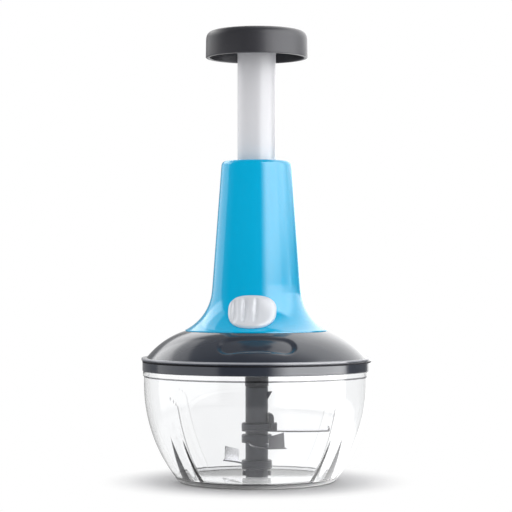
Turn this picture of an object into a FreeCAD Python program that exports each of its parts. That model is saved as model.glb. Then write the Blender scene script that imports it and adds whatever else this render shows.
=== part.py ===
import FreeCAD, Part
import math
import os
import re

import Sketcher
from FreeCAD import Placement, Rotation, Vector

# Plunger food chopper, in millimetres. The Z axis is the axis of the blades, the tower and the
# plunger. Z = 0 is the worktop, and the lock button is on the front, which faces -Y.

SIZES = {
    # bowl and its foot
    "mouth_radius": 78.8,
    "wall_bulge": 107.0,
    "bulge_level": 68.0,
    "bowl_wall": 2.6,
    "floor_level": 1.0,
    "floor_thickness": 1.8,
    "floor_corner": 8.0,
    "bead_level": 73.9,
    "bead_height": 3.4,
    "bead_depth": 0.7,
    "neck_height": 5.7,
    "neck_wall": 1.5,
    "rebate_depth": 2.1,
    "ring_height": 3.6,
    "ring_width": 6.0,
    "ring_inset": 5.3,
    "inner_rib_width": 10.0,
    "inner_rib_top": 60.0,
    "inner_rib_depth": 5.0,
    "pin_pad_radius": 8.0,
    "pin_radius": 3.0,
    "pin_height": 22.0,
    # blades
    "shaft_radius": 7.9,
    "shoulder_level": 66.5,
    "drive_hex": 10.7,
    "drive_hex_height": 11.5,
    "tab_level": 4.0,
    "tab_reach": 9.9,
    "tab_width": 3.0,
    "tab_height": 3.2,
    "lug_drop": 4.0,
    "lug_height": 5.0,
    "lug_reach": 10.7,
    "lug_width": 6.0,
    "blade_thickness": 1.0,
    "blade_gap": 1.93,
    "blade_width": 12.5,
    "blade_bevel": 0.7,
    "wing_height": 11.0,
    "tip_height": 3.0,
    "collar_radius": 10.6,
    "collar_height": 4.6,
    "collar_edge": 0.8,
    "clip_reach": 14.2,
    "clip_width": 8.0,
    "nub_reach": 12.1,
    "nub_height": 6.9,
    "upper_blade_level": 35.0,
    "middle_blade_level": 27.0,
    "lower_blade_level": 9.0,
    "upper_blade_angle": 0.0,
    "middle_blade_angle": -74.0,
    "lower_blade_angle": 112.0,
    # lid
    "skirt_overhang": 1.1,
    "skirt_wall": 1.9,
    "rim_level": 84.5,
    "rim_height": 2.0,
    "rim_depth": 0.7,
    "plug_gap": 2.8,
    "plug_wall": 1.8,
    "ceiling_gap": 0.4,
    "gasket_level": 78.5,
    "gasket_height": 3.0,
    "gasket_groove": 0.8,
    "gasket_lip": 0.6,
    "dome_edge_inset": 3.0,
    "dome_radius": 56.0,
    "dome_top_level": 105.0,
    "lid_wall": 2.4,
    "seat_depth": 1.7,
    "deck_bore": 23.0,
    "recess_length": 52.0,
    "recess_width": 17.0,
    "recess_depth": 3.2,
    "recess_rise": 2.35,
    "recess_slope": 32.4,
    # tower
    "foot_radius": 50.0,
    "foot_band": 5.5,
    "flare_radius": 33.0,
    "waist_radius": 31.3,
    "waist_level": 133.0,
    "tower_top_radius": 24.5,
    "tower_top_level": 223.8,
    "tower_edge": 4.0,
    "tower_wall": 2.4,
    "tube_hole_gap": 0.8,
    "tower_screw_circle": 36.0,
    "post_roof": 1.2,
    # plunger
    "tube_radius": 13.4,
    "tube_wall": 2.0,
    "tube_top_level": 306.0,
    "foot_level": 180.0,
    "collar_reach": 17.0,
    "foot_depth": 8.0,
    "foot_lip": 2.4,
    "foot_bore": 9.5,
    "cap_radius": 35.4,
    "cap_flare": 0.3,
    "cap_drop": 10.2,
    "cap_height": 18.9,
    "cap_edge": 5.5,
    "cap_wall": 2.4,
    "cap_socket_depth": 12.3,
    "cap_rib_depth": 5.0,
    "nut_height": 9.0,
    "rod_width": 9.0,
    "rod_thickness": 2.6,
    "rod_lead": 36.0,
    "rod_level": 104.0,
    "rod_top_level": 196.0,
    "rod_clearance": 0.2,
    "spring_radius": 12.9,
    "spring_wire": 1.4,
    "spring_coils": 8.0,
    # guides in the tower
    "guide_radius": 17.3,
    "guide_wall": 1.6,
    "guide_rib_width": 3.0,
    "guide_rib_depth": 1.7,
    "bush_flange": 2.0,
    "bush_overhang": 1.0,
    "stop_ring_height": 1.8,
    "tube_clearance": 0.3,
    # drive under the lid
    "cover_level": 77.5,
    "cover_thickness": 2.0,
    "cover_boss_radius": 14.5,
    "cover_boss_height": 5.5,
    "cup_wall": 1.0,
    "hub_flange_radius": 15.3,
    "hub_flange_level": 73.4,
    "hub_flange_height": 3.8,
    "hub_sleeve_radius": 8.2,
    "hub_neck_radius": 9.0,
    "hub_edge": 0.8,
    "socket_height": 12.7,
    "bush_radius": 12.0,
    "bush_rim": 1.6,
    "crown_radius": 13.8,
    "crown_bore": 8.0,
    "crown_level": 84.2,
    "crown_thickness": 2.8,
    "tooth_count": 8.0,
    "tooth_height": 2.6,
    "tooth_width": 2.6,
    "driver_level": 90.6,
    "driver_thickness": 4.4,
    "driver_edge": 1.0,
    "journal_radius": 4.0,
    "driver_pin_radius": 1.0,
    "driver_pin_inset": 4.0,
    "driver_pin_play": 0.3,
    "housing_radius": 21.0,
    "housing_wall": 2.4,
    "housing_foot_radius": 27.0,
    "housing_level": 99.0,
    "rod_bush_wall": 2.6,
    "rod_bush_rise": 1.0,
    "seat_height": 1.0,
    "running_gap": 0.2,
    # lock
    "button_length": 33.0,
    "button_height": 22.0,
    "button_end_radius": 10.2,
    "button_thickness": 3.4,
    "button_slope": 30.66,
    "groove_width": 2.2,
    "groove_height": 12.0,
    "groove_depth": 0.9,
    "groove_pitch": 7.0,
    "button_level": 119.0,
    "lock_rest": 5.3,
    "tongue_level": 120.5,
    "tongue_height": 3.0,
    "tongue_width": 4.4,
    "tongue_reach": 14.4,
    "window_gap": 0.6,
    # fasteners
    "screw_radius": 1.5,
    "screw_head_radius": 2.8,
    "screw_head_height": 1.6,
    "screw_length": 8.0,
    "boss_radius": 3.6,
    # how far a cutting shape reaches past what it cuts
    "cut_overlap": 1.0,
}

# Sizes that follow from the ones above, as formulas in the same sheet.
FOLLOWING = {
    "skirt_radius": "mouth_radius + skirt_overhang",
    "plug_radius": "mouth_radius - bowl_wall - plug_gap",
    "blade_reach": "mouth_radius - wall_bulge - inner_rib_depth - blade_gap"
                   " + sqrt((wall_bulge - bowl_wall) ^ 2 - (bulge_level - lower_blade_level) ^ 2)",
    "recess_radius": "0.5 * (skirt_radius - dome_edge_inset + foot_radius + running_gap)",
    "recess_level": "0.5 * (rim_level + rim_height + dome_top_level) + recess_rise",
    "tube_hole": "tube_radius + tube_hole_gap",
    "cap_level": "tube_top_level - cap_drop",
}

doc = FreeCAD.newDocument("FoodChopper")
sheet = doc.addObject("Spreadsheet::Sheet", "Sizes")
rows = [*SIZES.items(), *((name, f"={formula}") for name, formula in FOLLOWING.items())]
for row, (size_name, size_value) in enumerate(rows, start=1):
    sheet.set(f"A{row}", size_name)
    sheet.set(f"B{row}", str(size_value))
    sheet.setAlias(f"B{row}", size_name)
doc.recompute()

# Places that follow from the sizes, as expressions.
BEAD_TOP = "(bead_level + bead_height)"
NECK_RADIUS = "(mouth_radius - bowl_wall)"
NECK_TOP = f"({BEAD_TOP} + neck_height)"
FLOOR_TOP = "(floor_level + floor_thickness)"
CEILING = f"({NECK_TOP} + ceiling_gap)"
RIM_TOP = "(rim_level + rim_height)"
DOME_EDGE = "(skirt_radius - dome_edge_inset)"
SEAT_LEVEL = "(dome_top_level - seat_depth)"
SEAT_RADIUS = "(foot_radius + running_gap)"
TOWER_ROOF = "(tower_top_level - tower_wall)"
COVER_TOP = "(cover_level + cover_thickness)"
HUB_BOTTOM = "(shoulder_level + 1.5 * running_gap)"
HUB_TOP = "(crown_level + 0.6 * crown_thickness)"
FOOT_TOP = "(foot_level + foot_depth)"
STOP_LEVEL = f"({FOOT_TOP} + running_gap)"
STOP_TOP = f"({STOP_LEVEL} + stop_ring_height)"
GUIDE_TOP = f"({TOWER_ROOF} - bush_flange)"
CAP_TOP = "(cap_level + cap_height)"
CAP_ROOF = f"({CAP_TOP} - cap_wall)"
PIN_TOP = f"({FLOOR_TOP} + pin_height)"
TUBE_BORE = "(tube_radius - tube_wall)"
FOOT_SCREW_LEVEL = "(foot_level + foot_lip + 0.5 * (foot_depth - foot_lip))"
ROD_BUSH_RADIUS = "(journal_radius + rod_bush_wall)"
COVER_SCREW_CIRCLE = "(plug_radius - plug_wall - 1.6 * boss_radius)"
COVER_SCREW = (f"({COVER_SCREW_CIRCLE} * sqrt(0.5))",) * 2
TOWER_SCREW = ("(tower_screw_circle * sqrt(0.5))",) * 2
HOUSING_SCREW_CIRCLE = "(0.5 * (housing_radius + housing_foot_radius))"
HOUSING_SCREW = ("0", HOUSING_SCREW_CIRCLE)
FLARE_MIDDLE = "(waist_radius + flare_radius)"
LEAN = "((waist_radius - tower_top_radius) / (tower_top_level - waist_level))"
FLARE_LEVEL = f"(waist_level + flare_radius * {LEAN})"
BUTTON_OUT = "cos(button_slope * 1 deg)"
BUTTON_UP = "sin(button_slope * 1 deg)"


def expression(text):
    """Turns names of sizes into references to the sheet's cells."""
    return re.sub(r"\b[a-z]+(?:_[a-z]+)+\b", lambda name: f"Sizes.{name.group()}", text)


def number(text):
    """The value of an expression now."""
    return float(sheet.evalExpression(expression(text)))


def bowl_radius(level, depth="0"):
    """Radius of the bowl's bulging wall at a level, measured depth inside its outer face."""
    bulge = f"sqrt((wall_bulge - {depth}) ^ 2 - (bulge_level - {level}) ^ 2)"
    return f"(mouth_radius - wall_bulge + {bulge})"


def new_body(label):
    body = doc.addObject("PartDesign::Body", label)
    body.Label = label
    return body


def origin(body, role):
    return next(item for item in body.Origin.OriginFeatures if item.Role == role)


def new_sketch(body, label, plane, shift="0", turn="0", turn_axis=Vector(0, 1, 0)):
    """A sketch on one of its body's planes, shifted along the normal and turned about its axis."""
    sketch = body.newObject("Sketcher::SketchObject", label)
    sketch.AttachmentSupport = (origin(body, plane), [""])
    sketch.MapMode = "FlatFace"
    sketch.AttachmentOffset = Placement(Vector(0, 0, number(shift)), Rotation(turn_axis, number(turn)))
    if shift != "0":
        sketch.setExpression(".AttachmentOffset.Base.z", expression(shift))
    if turn != "0":
        sketch.setExpression(".AttachmentOffset.Rotation.Angle", expression(turn))
    return sketch


def place_point(sketch, curve, end, point):
    """Ties one point of a curve to two expressions, measured from the sketch's origin."""
    for kind, text, axis in (("DistanceX", point[0], -2), ("DistanceY", point[1], -1)):
        value = number(text)
        if abs(value) < 1e-9:
            sketch.addConstraint(Sketcher.Constraint("PointOnObject", curve, end, axis))
            continue
        if value > 0:
            index = sketch.addConstraint(Sketcher.Constraint(kind, -1, 1, curve, end, value))
            sketch.setExpression(f"Constraints[{index}]", expression(text))
        else:
            index = sketch.addConstraint(Sketcher.Constraint(kind, curve, end, -1, 1, -value))
            sketch.setExpression(f"Constraints[{index}]", expression(f"-({text})"))


def draw_arc(sketch, first, last, radius, side):
    """Adds the short arc from first to last. Its middle is on the left for side 1, else right."""
    chord = last - first
    half = chord.Length / 2
    left = Vector(-chord.y, chord.x, 0).normalize()
    middle = first + chord * 0.5 + left * side * math.sqrt(max(radius**2 - half**2, 0))
    circle = Part.Circle(middle, Vector(0, 0, 1), radius)
    ends = (first, last) if side > 0 else (last, first)
    angles = [math.atan2(end.y - middle.y, end.x - middle.x) for end in ends]
    return sketch.addGeometry(Part.ArcOfCircle(circle, angles[0], angles[1]), False)


def draw_outline(sketch, points):
    """A closed outline. A point is (across, up), or (across, up, radius, side) after an arc."""
    places = [Vector(number(point[0]), number(point[1]), 0) for point in points]
    ends = []
    for index, point in enumerate(points):
        first, last = places[index - 1], places[index]
        if len(point) == 4:
            curve = draw_arc(sketch, first, last, number(point[2]), point[3])
            radius = sketch.addConstraint(Sketcher.Constraint("Radius", curve, number(point[2])))
            sketch.setExpression(f"Constraints[{radius}]", expression(point[2]))
            ends.append((curve, 1, 2) if point[3] > 0 else (curve, 2, 1))
        else:
            ends.append((sketch.addGeometry(Part.LineSegment(first, last), False), 1, 2))
    for index, point in enumerate(points):
        curve, end = ends[index][0], ends[index][2]
        following = ends[(index + 1) % len(points)]
        sketch.addConstraint(Sketcher.Constraint("Coincident", curve, end, following[0], following[1]))
        place_point(sketch, curve, end, point)


def draw_circle(sketch, radius, middle=("0", "0")):
    place = Vector(number(middle[0]), number(middle[1]), 0)
    curve = sketch.addGeometry(Part.Circle(place, Vector(0, 0, 1), number(radius)), False)
    index = sketch.addConstraint(Sketcher.Constraint("Radius", curve, number(radius)))
    sketch.setExpression(f"Constraints[{index}]", expression(radius))
    place_point(sketch, curve, 3, middle)


def draw_hexagon(sketch, across_flats):
    """A hexagon about the sketch's origin, with two corners on its upright axis."""
    corner = f"(({across_flats}) / sqrt(3))"
    flat = f"(({across_flats}) / 2)"
    half = f"({corner} / 2)"
    draw_outline(sketch, [
        (flat, half), ("0", corner), (f"-{flat}", half), (f"-{flat}", f"-{half}"),
        ("0", f"-{corner}"), (flat, f"-{half}"),
    ])


def turn_about_axis(body, label, points, angle=None, turn="0"):
    """Revolves an outline of (radius, level) points about Z, all round or over a sector."""
    sketch = new_sketch(body, f"{label}_sketch", "XZ_Plane", turn=turn)
    draw_outline(sketch, points)
    feature = body.newObject("PartDesign::Revolution", label)
    feature.Profile = sketch
    feature.ReferenceAxis = (sketch, ["V_Axis"])
    feature.Angle = 360
    if angle:
        feature.Midplane = True
        feature.setExpression("Angle", expression(angle))
    body.Tip = feature
    doc.recompute()
    return feature


def extrude(body, label, sketch, length=None, cut=False, back=False, both=False):
    """Pads or pockets a sketch. A pocket without a length goes through everything."""
    feature = body.newObject("PartDesign::Pocket" if cut else "PartDesign::Pad", label)
    feature.Profile = sketch
    feature.Reversed = back
    feature.SideType = "Symmetric" if both else "One side"
    if length:
        feature.setExpression("Length", expression(length))
    else:
        feature.Type = "ThroughAll"
    body.Tip = feature
    doc.recompute()
    return feature


def repeat_around(body, label, feature, count):
    pattern = body.newObject("PartDesign::PolarPattern", label)
    pattern.Originals = [feature]
    pattern.Axis = (origin(body, "Z_Axis"), [""])
    pattern.Angle = 360
    pattern.setExpression("Occurrences", expression(count))
    body.Tip = pattern
    doc.recompute()
    return pattern


def ring_edges(shape, rings):
    """Names of the circular edges about Z at the given (radius, level) places."""
    names = []
    for index, edge in enumerate(shape.Edges, start=1):
        if not isinstance(edge.Curve, Part.Circle):
            continue
        for radius, level in rings:
            same_radius = abs(edge.Curve.Radius - number(radius)) < 1e-4
            if same_radius and abs(edge.Curve.Center.z - number(level)) < 1e-4:
                names.append(f"Edge{index}")
    return names


def soften(body, label, rings, size):
    """Rounds the circular edges at the given places."""
    base = body.Tip
    feature = body.newObject("PartDesign::Fillet", label)
    feature.Base = (base, ring_edges(base.Shape, rings))
    feature.setExpression("Radius", expression(size))
    body.Tip = feature
    doc.recompute()
    return feature


def stand(item, level="0", angle="0"):
    """Puts a sub-part at its level, turned about Z."""
    item.Placement = Placement(Vector(0, 0, number(level)), Rotation(Vector(0, 0, 1), number(angle)))
    item.setExpression(".Placement.Base.z", expression(level))
    item.setExpression(".Placement.Rotation.Angle", expression(angle))
    return item


def ring_of(label, inner, outer, bottom, top):
    """A plain ring as a sub-part of its own."""
    body = new_body(label)
    turn_about_axis(body, f"{label}_ring", [
        (inner, bottom), (outer, bottom), (outer, top), (inner, top),
    ])
    return body


def boolean(kind, label, base, tool):
    result = doc.addObject(f"Part::{kind}", label)
    result.Label = label
    result.Base = base
    result.Tool = tool
    doc.recompute()
    return result


def bores(body, label, place, level, depth, count, radius="screw_radius", down=True):
    """Round holes at even angles about Z, from a level down or up."""
    sketch = new_sketch(body, f"{label}_sketch", "XY_Plane", shift=level)
    draw_circle(sketch, radius, place)
    hole = extrude(body, f"{label}_hole", sketch, depth, cut=True, back=not down)
    return repeat_around(body, label, hole, count)


def posts(body, label, place, level, height, count, radius="boss_radius"):
    """Round posts at even angles about Z, standing on a level."""
    sketch = new_sketch(body, f"{label}_sketch", "XY_Plane", shift=level)
    draw_circle(sketch, radius, place)
    post = extrude(body, f"{label}_post", sketch, height)
    return repeat_around(body, label, post, count)


# bowl, its foot and the pin in its floor

def make_base_ring():
    body = new_body("base_ring")
    outer = bowl_radius("ring_height")
    stand_radius = f"({outer} - ring_inset)"
    rebate = f"({outer} - rebate_depth)"
    turn_about_axis(body, "base_ring_profile", [
        (f"{stand_radius} - ring_width", "0"),
        (stand_radius, "0"),
        (outer, "ring_height", "1.2 * ring_inset", 1),
        (rebate, "ring_height"),
        (f"{stand_radius} + 0.3 * ring_inset", "floor_level"),
        (f"{stand_radius} - ring_width", "floor_level"),
    ])
    return body


def make_bowl():
    body = new_body("bowl")
    outer = bowl_radius("ring_height")
    stand_radius = f"({outer} - ring_inset)"
    turn_about_axis(body, "bowl_profile", [
        ("pin_radius", "0.4 * floor_level"),
        ("pin_pad_radius", "0.4 * floor_level"),
        ("pin_pad_radius", "floor_level"),
        (f"{stand_radius} + 0.3 * ring_inset", "floor_level"),
        (f"{outer} - rebate_depth", "ring_height"),
        (outer, "ring_height"),
        ("mouth_radius", "bulge_level", "wall_bulge", 1),
        ("mouth_radius", "bead_level"),
        ("mouth_radius + bead_depth", "bead_level"),
        ("mouth_radius + bead_depth", BEAD_TOP),
        (f"{NECK_RADIUS} + neck_wall", BEAD_TOP),
        (f"{NECK_RADIUS} + neck_wall", NECK_TOP),
        (NECK_RADIUS, NECK_TOP),
        (NECK_RADIUS, "bulge_level"),
        (bowl_radius(FLOOR_TOP, "bowl_wall"), FLOOR_TOP, "wall_bulge - bowl_wall", -1),
        ("pin_radius", FLOOR_TOP),
    ])
    soften(body, "floor_round", [(bowl_radius(FLOOR_TOP, "bowl_wall"), FLOOR_TOP)], "floor_corner")
    middle = f"(({FLOOR_TOP} + inner_rib_top) / 2)"
    rib = turn_about_axis(body, "inner_rib", [
        (bowl_radius("2 * ring_height", "0.5 * bowl_wall"), "2 * ring_height"),
        (bowl_radius("inner_rib_top", "0.5 * bowl_wall"), "inner_rib_top",
         "wall_bulge - 0.5 * bowl_wall", 1),
        (f"{bowl_radius('inner_rib_top', 'bowl_wall')} - 0.4 * inner_rib_depth", "inner_rib_top"),
        (f"{bowl_radius(middle, 'bowl_wall')} - 0.7 * inner_rib_depth", middle),
        (f"{bowl_radius(FLOOR_TOP, 'bowl_wall')} - inner_rib_depth",
         "floor_level + 0.5 * floor_thickness"),
    ], angle="inner_rib_width", turn="45")
    repeat_around(body, "inner_ribs", rib, "4")
    return body


def make_pivot_pin():
    body = new_body("pivot_pin")
    turn_about_axis(body, "pivot_pin_profile", [
        ("0", "0.4 * floor_level"), ("pin_radius", "0.4 * floor_level"), ("pin_radius", PIN_TOP),
        ("0", PIN_TOP),
    ])
    soften(body, "pivot_pin_tip", [("pin_radius", PIN_TOP)], "0.4 * pin_radius")
    return body


# blades on their shaft

def make_blade_shaft():
    body = new_body("blade_shaft")
    bottom = f"{FLOOR_TOP} + 1.5 * running_gap"
    bore = "(pin_radius + 1.5 * running_gap)"
    turn_about_axis(body, "shaft_post", [
        (bore, bottom), ("shaft_radius", bottom), ("shaft_radius", "shoulder_level"),
        ("0", "shoulder_level"), ("0", f"{PIN_TOP} + 1.5 * running_gap"),
        (bore, f"{PIN_TOP} + 1.5 * running_gap"),
    ])
    soften(body, "shaft_shoulder", [("shaft_radius", "shoulder_level")], "0.1 * shaft_radius")
    hexagon = new_sketch(body, "drive_hex_sketch", "XY_Plane", shift="shoulder_level - cut_overlap")
    draw_hexagon(hexagon, "drive_hex")
    extrude(body, "drive_hexagon", hexagon, "drive_hex_height + cut_overlap")
    tabs = new_sketch(body, "foot_tabs_sketch", "XY_Plane", shift="tab_level")
    half = "(0.5 * tab_width)"
    draw_outline(tabs, [
        ("tab_reach", f"-{half}"), ("tab_reach", half), ("-tab_reach", half), ("-tab_reach", f"-{half}"),
    ])
    extrude(body, "foot_tabs", tabs, "tab_height")
    hollow = new_sketch(body, "pin_bore_sketch", "XY_Plane", shift=bottom)
    draw_circle(hollow, bore)
    extrude(body, "pin_bore", hollow, "pin_height", cut=True, back=True)
    lug = new_sketch(body, "side_lug_sketch", "XZ_Plane")
    lug_top = "(shoulder_level - lug_drop)"
    draw_outline(lug, [
        ("0.7 * shaft_radius", f"{lug_top} - lug_height"), ("shaft_radius", f"{lug_top} - lug_height"),
        ("lug_reach", lug_top), ("0.7 * shaft_radius", lug_top),
    ])
    extrude(body, "side_lug", lug, "lug_width", both=True)
    return body


def make_blade(label, wing_height):
    """A sickle blade that points along +X, with a ring round the shaft and a wing bent up at its tip."""
    body = new_body(label)
    half = "(0.5 * blade_width)"
    root = "(0.6 * collar_radius)"
    plan = new_sketch(body, f"{label}_plan", "XY_Plane")
    draw_outline(plan, [
        (root, f"-{half}"),
        ("blade_reach", f"-{half}", "blade_reach", 1),
        ("blade_reach", half),
        (root, half, "0.9 * blade_reach", -1),
    ])
    extrude(body, f"{label}_plate", plan, "blade_thickness")
    ring = new_sketch(body, f"{label}_ring_sketch", "XY_Plane")
    draw_circle(ring, "collar_radius")
    extrude(body, f"{label}_ring", ring, "blade_thickness")
    eye = new_sketch(body, f"{label}_eye_sketch", "XY_Plane")
    draw_circle(eye, "shaft_radius")
    extrude(body, f"{label}_eye", eye, cut=True, both=True)
    bevel_blade(body)
    wing = new_sketch(body, f"{label}_wing_sketch", "YZ_Plane", shift="blade_reach - blade_thickness")
    inner = f"({half} - 2 * blade_bevel)"
    draw_outline(wing, [
        (f"-{half}", "0"), (inner, "0"), (f"0.7 * {half}", wing_height),
        (f"-{half}", f"0.75 * {wing_height}"),
    ])
    extrude(body, f"{label}_wing", wing, "blade_thickness")
    return body


def bevel_blade(body):
    """Grinds the leading long edge of a blade."""
    base = body.Tip
    names = []
    for index, edge in enumerate(base.Shape.Edges, start=1):
        middle = edge.CenterOfMass
        on_top = abs(middle.z - number("blade_thickness")) < 1e-6 and edge.BoundBox.ZLength < 0.01
        if on_top and middle.y > 0 and edge.BoundBox.XLength > number("0.5 * blade_reach"):
            names.append(f"Edge{index}")
    feature = body.newObject("PartDesign::Chamfer", f"{body.Label}_bevel")
    feature.Base = (base, names)
    feature.setExpression("Size", expression("blade_bevel"))
    body.Tip = feature
    doc.recompute()


def make_blades():
    heights = {"upper": "tip_height", "middle": "wing_height", "lower": "wing_height"}
    pieces = []
    for place, height in heights.items():
        blade = make_blade(f"{place}_blade", height)
        pieces.append(stand(blade, f"{place}_blade_level", f"{place}_blade_angle"))
        bottom = f"({place}_blade_level + blade_thickness)"
        collar = ring_of(f"{place}_collar", "shaft_radius", "collar_radius", bottom,
                         f"{bottom} + collar_height")
        rim = [("collar_radius", f"{bottom} + collar_height")]
        soften(collar, f"{place}_collar_edge", rim, "collar_edge")
        if place == "upper":
            add_clip(collar, bottom)
        pieces.append(collar)
    return pieces


def add_clip(body, level):
    """The block beside the shaft that holds the top blade down, with a round-topped nub to lift it by."""
    inner = "(shaft_radius + 0.5 * running_gap)"
    block_top = f"({level} + collar_height)"
    nub_top = f"({block_top} + nub_height)"
    round_size = "(0.9 * (nub_reach - shaft_radius))"
    side = new_sketch(body, "clip_side", "XZ_Plane")
    draw_outline(side, [
        (inner, level), ("clip_reach", level), ("clip_reach", block_top), ("nub_reach", block_top),
        ("nub_reach", f"{nub_top} - {round_size}"),
        (f"nub_reach - {round_size}", nub_top, round_size, 1), (inner, nub_top),
    ])
    extrude(body, "clip", side, "clip_width", both=True)


# lid and what closes it

def dome_points(depth):
    """The dome's outer arc, moved straight down and in by a depth."""
    return [
        (f"{DOME_EDGE} - {depth}", f"{RIM_TOP} - 0.5 * {depth}"),
        (f"{SEAT_RADIUS} - 0.35 * {depth}", f"dome_top_level - {depth}", "dome_radius", 1),
    ]


def make_lid_shell():
    body = new_body("lid_shell")
    inner_plug = "(plug_radius - plug_wall)"
    deck_bottom = f"({SEAT_LEVEL} - lid_wall)"
    outer = dome_points("0")
    turn_about_axis(body, "lid_profile", [
        (inner_plug, "cover_level"),
        ("plug_radius", "cover_level"),
        ("plug_radius", "gasket_level"),
        ("plug_radius - gasket_groove", "gasket_level"),
        ("plug_radius - gasket_groove", "gasket_level + gasket_height"),
        ("plug_radius", "gasket_level + gasket_height"),
        ("plug_radius", CEILING),
        ("skirt_radius - skirt_wall", CEILING),
        ("skirt_radius - skirt_wall", BEAD_TOP),
        ("skirt_radius", BEAD_TOP),
        ("skirt_radius", "rim_level"),
        ("skirt_radius + rim_depth", "rim_level"),
        ("skirt_radius + rim_depth", RIM_TOP),
        outer[0],
        outer[1],
        (SEAT_RADIUS, SEAT_LEVEL),
        ("deck_bore", SEAT_LEVEL),
        ("deck_bore", deck_bottom),
        (f"{SEAT_RADIUS} - 1.5 * lid_wall", deck_bottom),
        (inner_plug, f"{RIM_TOP} + 0.5 * lid_wall", "dome_radius - lid_wall", -1),
    ])
    deep = dome_points("(recess_depth + lid_wall)")
    near = dome_points("0.5 * lid_wall")
    turn_about_axis(body, "recess_tray", [
        near[0],
        (SEAT_RADIUS, f"{SEAT_LEVEL} - 0.2 * lid_wall", "dome_radius", 1),
        (deep[1][0], deep[1][1]),
        (deep[0][0], deep[0][1], "dome_radius", -1),
    ], angle="(recess_length + 2 * lid_wall) / recess_radius * 180 / pi", turn="-90")
    bores(body, "seat_holes", TOWER_SCREW, SEAT_LEVEL, "lid_wall + cut_overlap", "4")
    post_level = f"({COVER_TOP} + screw_head_height)"
    posts(body, "cover_posts", COVER_SCREW, post_level, f"{RIM_TOP} + 2 * lid_wall - {post_level}", "4")
    bores(body, "cover_bores", COVER_SCREW, post_level, "screw_length", "4", down=False)
    return body


def make_recess_cutter():
    """The stadium recess: a prism across the slope, kept to a band of even depth under the dome."""
    prism = new_body("recess_prism")
    sketch = new_sketch(prism, "recess_stadium", "XY_Plane", turn="recess_slope",
                        turn_axis=Vector(1, 0, 0))
    sketch.AttachmentOffset = Placement(
        Vector(0, -number("recess_radius"), number("recess_level")), sketch.AttachmentOffset.Rotation
    )
    sketch.setExpression(".AttachmentOffset.Base.y", expression("-recess_radius"))
    sketch.setExpression(".AttachmentOffset.Base.z", expression("recess_level"))
    radius = "(0.5 * recess_width)"
    straight = f"(0.5 * recess_length - {radius})"
    draw_outline(sketch, [
        (straight, f"-{radius}"),
        (f"{straight} + {radius}", "0", radius, 1),
        (straight, radius, radius, 1),
        (f"-{straight}", radius),
        (f"-{straight} - {radius}", "0", radius, 1),
        (f"-{straight}", f"-{radius}", radius, 1),
    ])
    extrude(prism, "recess_block", sketch, "8 * recess_depth", both=True)
    band = new_body("recess_band")
    low = dome_points("recess_depth")
    high = dome_points("(-2 * recess_depth)")
    turn_about_axis(band, "recess_band_profile", [
        (high[0][0], high[0][1]), high[1], (low[1][0], low[1][1]),
        (low[0][0], low[0][1], "dome_radius", -1),
    ])
    return boolean("Common", "recess_cutter", prism, band)


def make_lid():
    return boolean("Cut", "lid", make_lid_shell(), make_recess_cutter())


def make_cover_plate():
    body = new_body("cover_plate")
    boss_top = "(cover_level + cover_boss_height)"
    turn_about_axis(body, "cover_profile", [
        ("bush_radius", "cover_level"), ("plug_radius - plug_wall - running_gap", "cover_level"),
        ("plug_radius - plug_wall - running_gap", COVER_TOP), ("cover_boss_radius", COVER_TOP),
        ("cover_boss_radius", boss_top), ("bush_radius", boss_top),
    ])
    posts(body, "screw_cups", COVER_SCREW, "cover_level", "cover_thickness + screw_head_height", "4",
          "boss_radius + cup_wall")
    bores(body, "cup_bores", COVER_SCREW, "cover_level", "1.5 * screw_head_height", "4",
          "screw_head_radius + running_gap", down=False)
    bores(body, "cup_holes", COVER_SCREW, "cover_level", "cover_thickness + screw_head_height + cut_overlap",
          "4", down=False)
    bores(body, "housing_holes", HOUSING_SCREW, COVER_TOP, "0.8 * cover_thickness", "3")
    return body


def make_gasket():
    body = new_body("lid_gasket")
    lip = f"({NECK_RADIUS} - running_gap)"
    middle = "(gasket_level + 0.5 * gasket_height)"
    turn_about_axis(body, "gasket_profile", [
        ("plug_radius - gasket_groove", "gasket_level"), ("plug_radius + gasket_lip", "gasket_level"),
        (lip, middle), ("plug_radius + gasket_lip", "gasket_level + gasket_height"),
        ("plug_radius - gasket_groove", "gasket_level + gasket_height"),
    ])
    return body


# tower and what it guides

def flare_radius_at(level, wall="0"):
    """Radius of the tower's flared foot at a level, measured wall inside its outer face."""
    return f"({FLARE_MIDDLE} - sqrt((flare_radius + {wall}) ^ 2 - ({FLARE_LEVEL} - {level}) ^ 2))"


def flare_level_at(radius, wall="0"):
    """Level of the tower's flared foot at a radius, measured wall inside its outer face."""
    return f"({FLARE_LEVEL} - sqrt((flare_radius + {wall}) ^ 2 - ({FLARE_MIDDLE} - {radius}) ^ 2))"


def make_tower():
    body = new_body("tower")
    inner_foot = "(foot_radius - foot_band)"
    turn_about_axis(body, "tower_profile", [
        (inner_foot, SEAT_LEVEL),
        ("foot_radius", SEAT_LEVEL),
        ("foot_radius", flare_level_at("foot_radius")),
        ("waist_radius", "waist_level", "flare_radius", -1),
        ("tower_top_radius", "tower_top_level"),
        ("tube_hole", "tower_top_level"),
        ("tube_hole", TOWER_ROOF),
        ("tower_top_radius - tower_wall", TOWER_ROOF),
        ("waist_radius - tower_wall", "waist_level"),
        (inner_foot, flare_level_at(inner_foot, "tower_wall"), "flare_radius + tower_wall", 1),
    ])
    soften(body, "tower_top_edge", [("tower_top_radius", "tower_top_level")], "tower_edge")
    posts(body, "screw_posts", TOWER_SCREW, SEAT_LEVEL, "screw_length + post_roof", "4")
    bores(body, "post_bores", TOWER_SCREW, SEAT_LEVEL, "screw_length", "4", down=False)
    lock_window(body, "lock_window", "flare_radius + waist_radius", "tongue_width")
    return body


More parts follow.
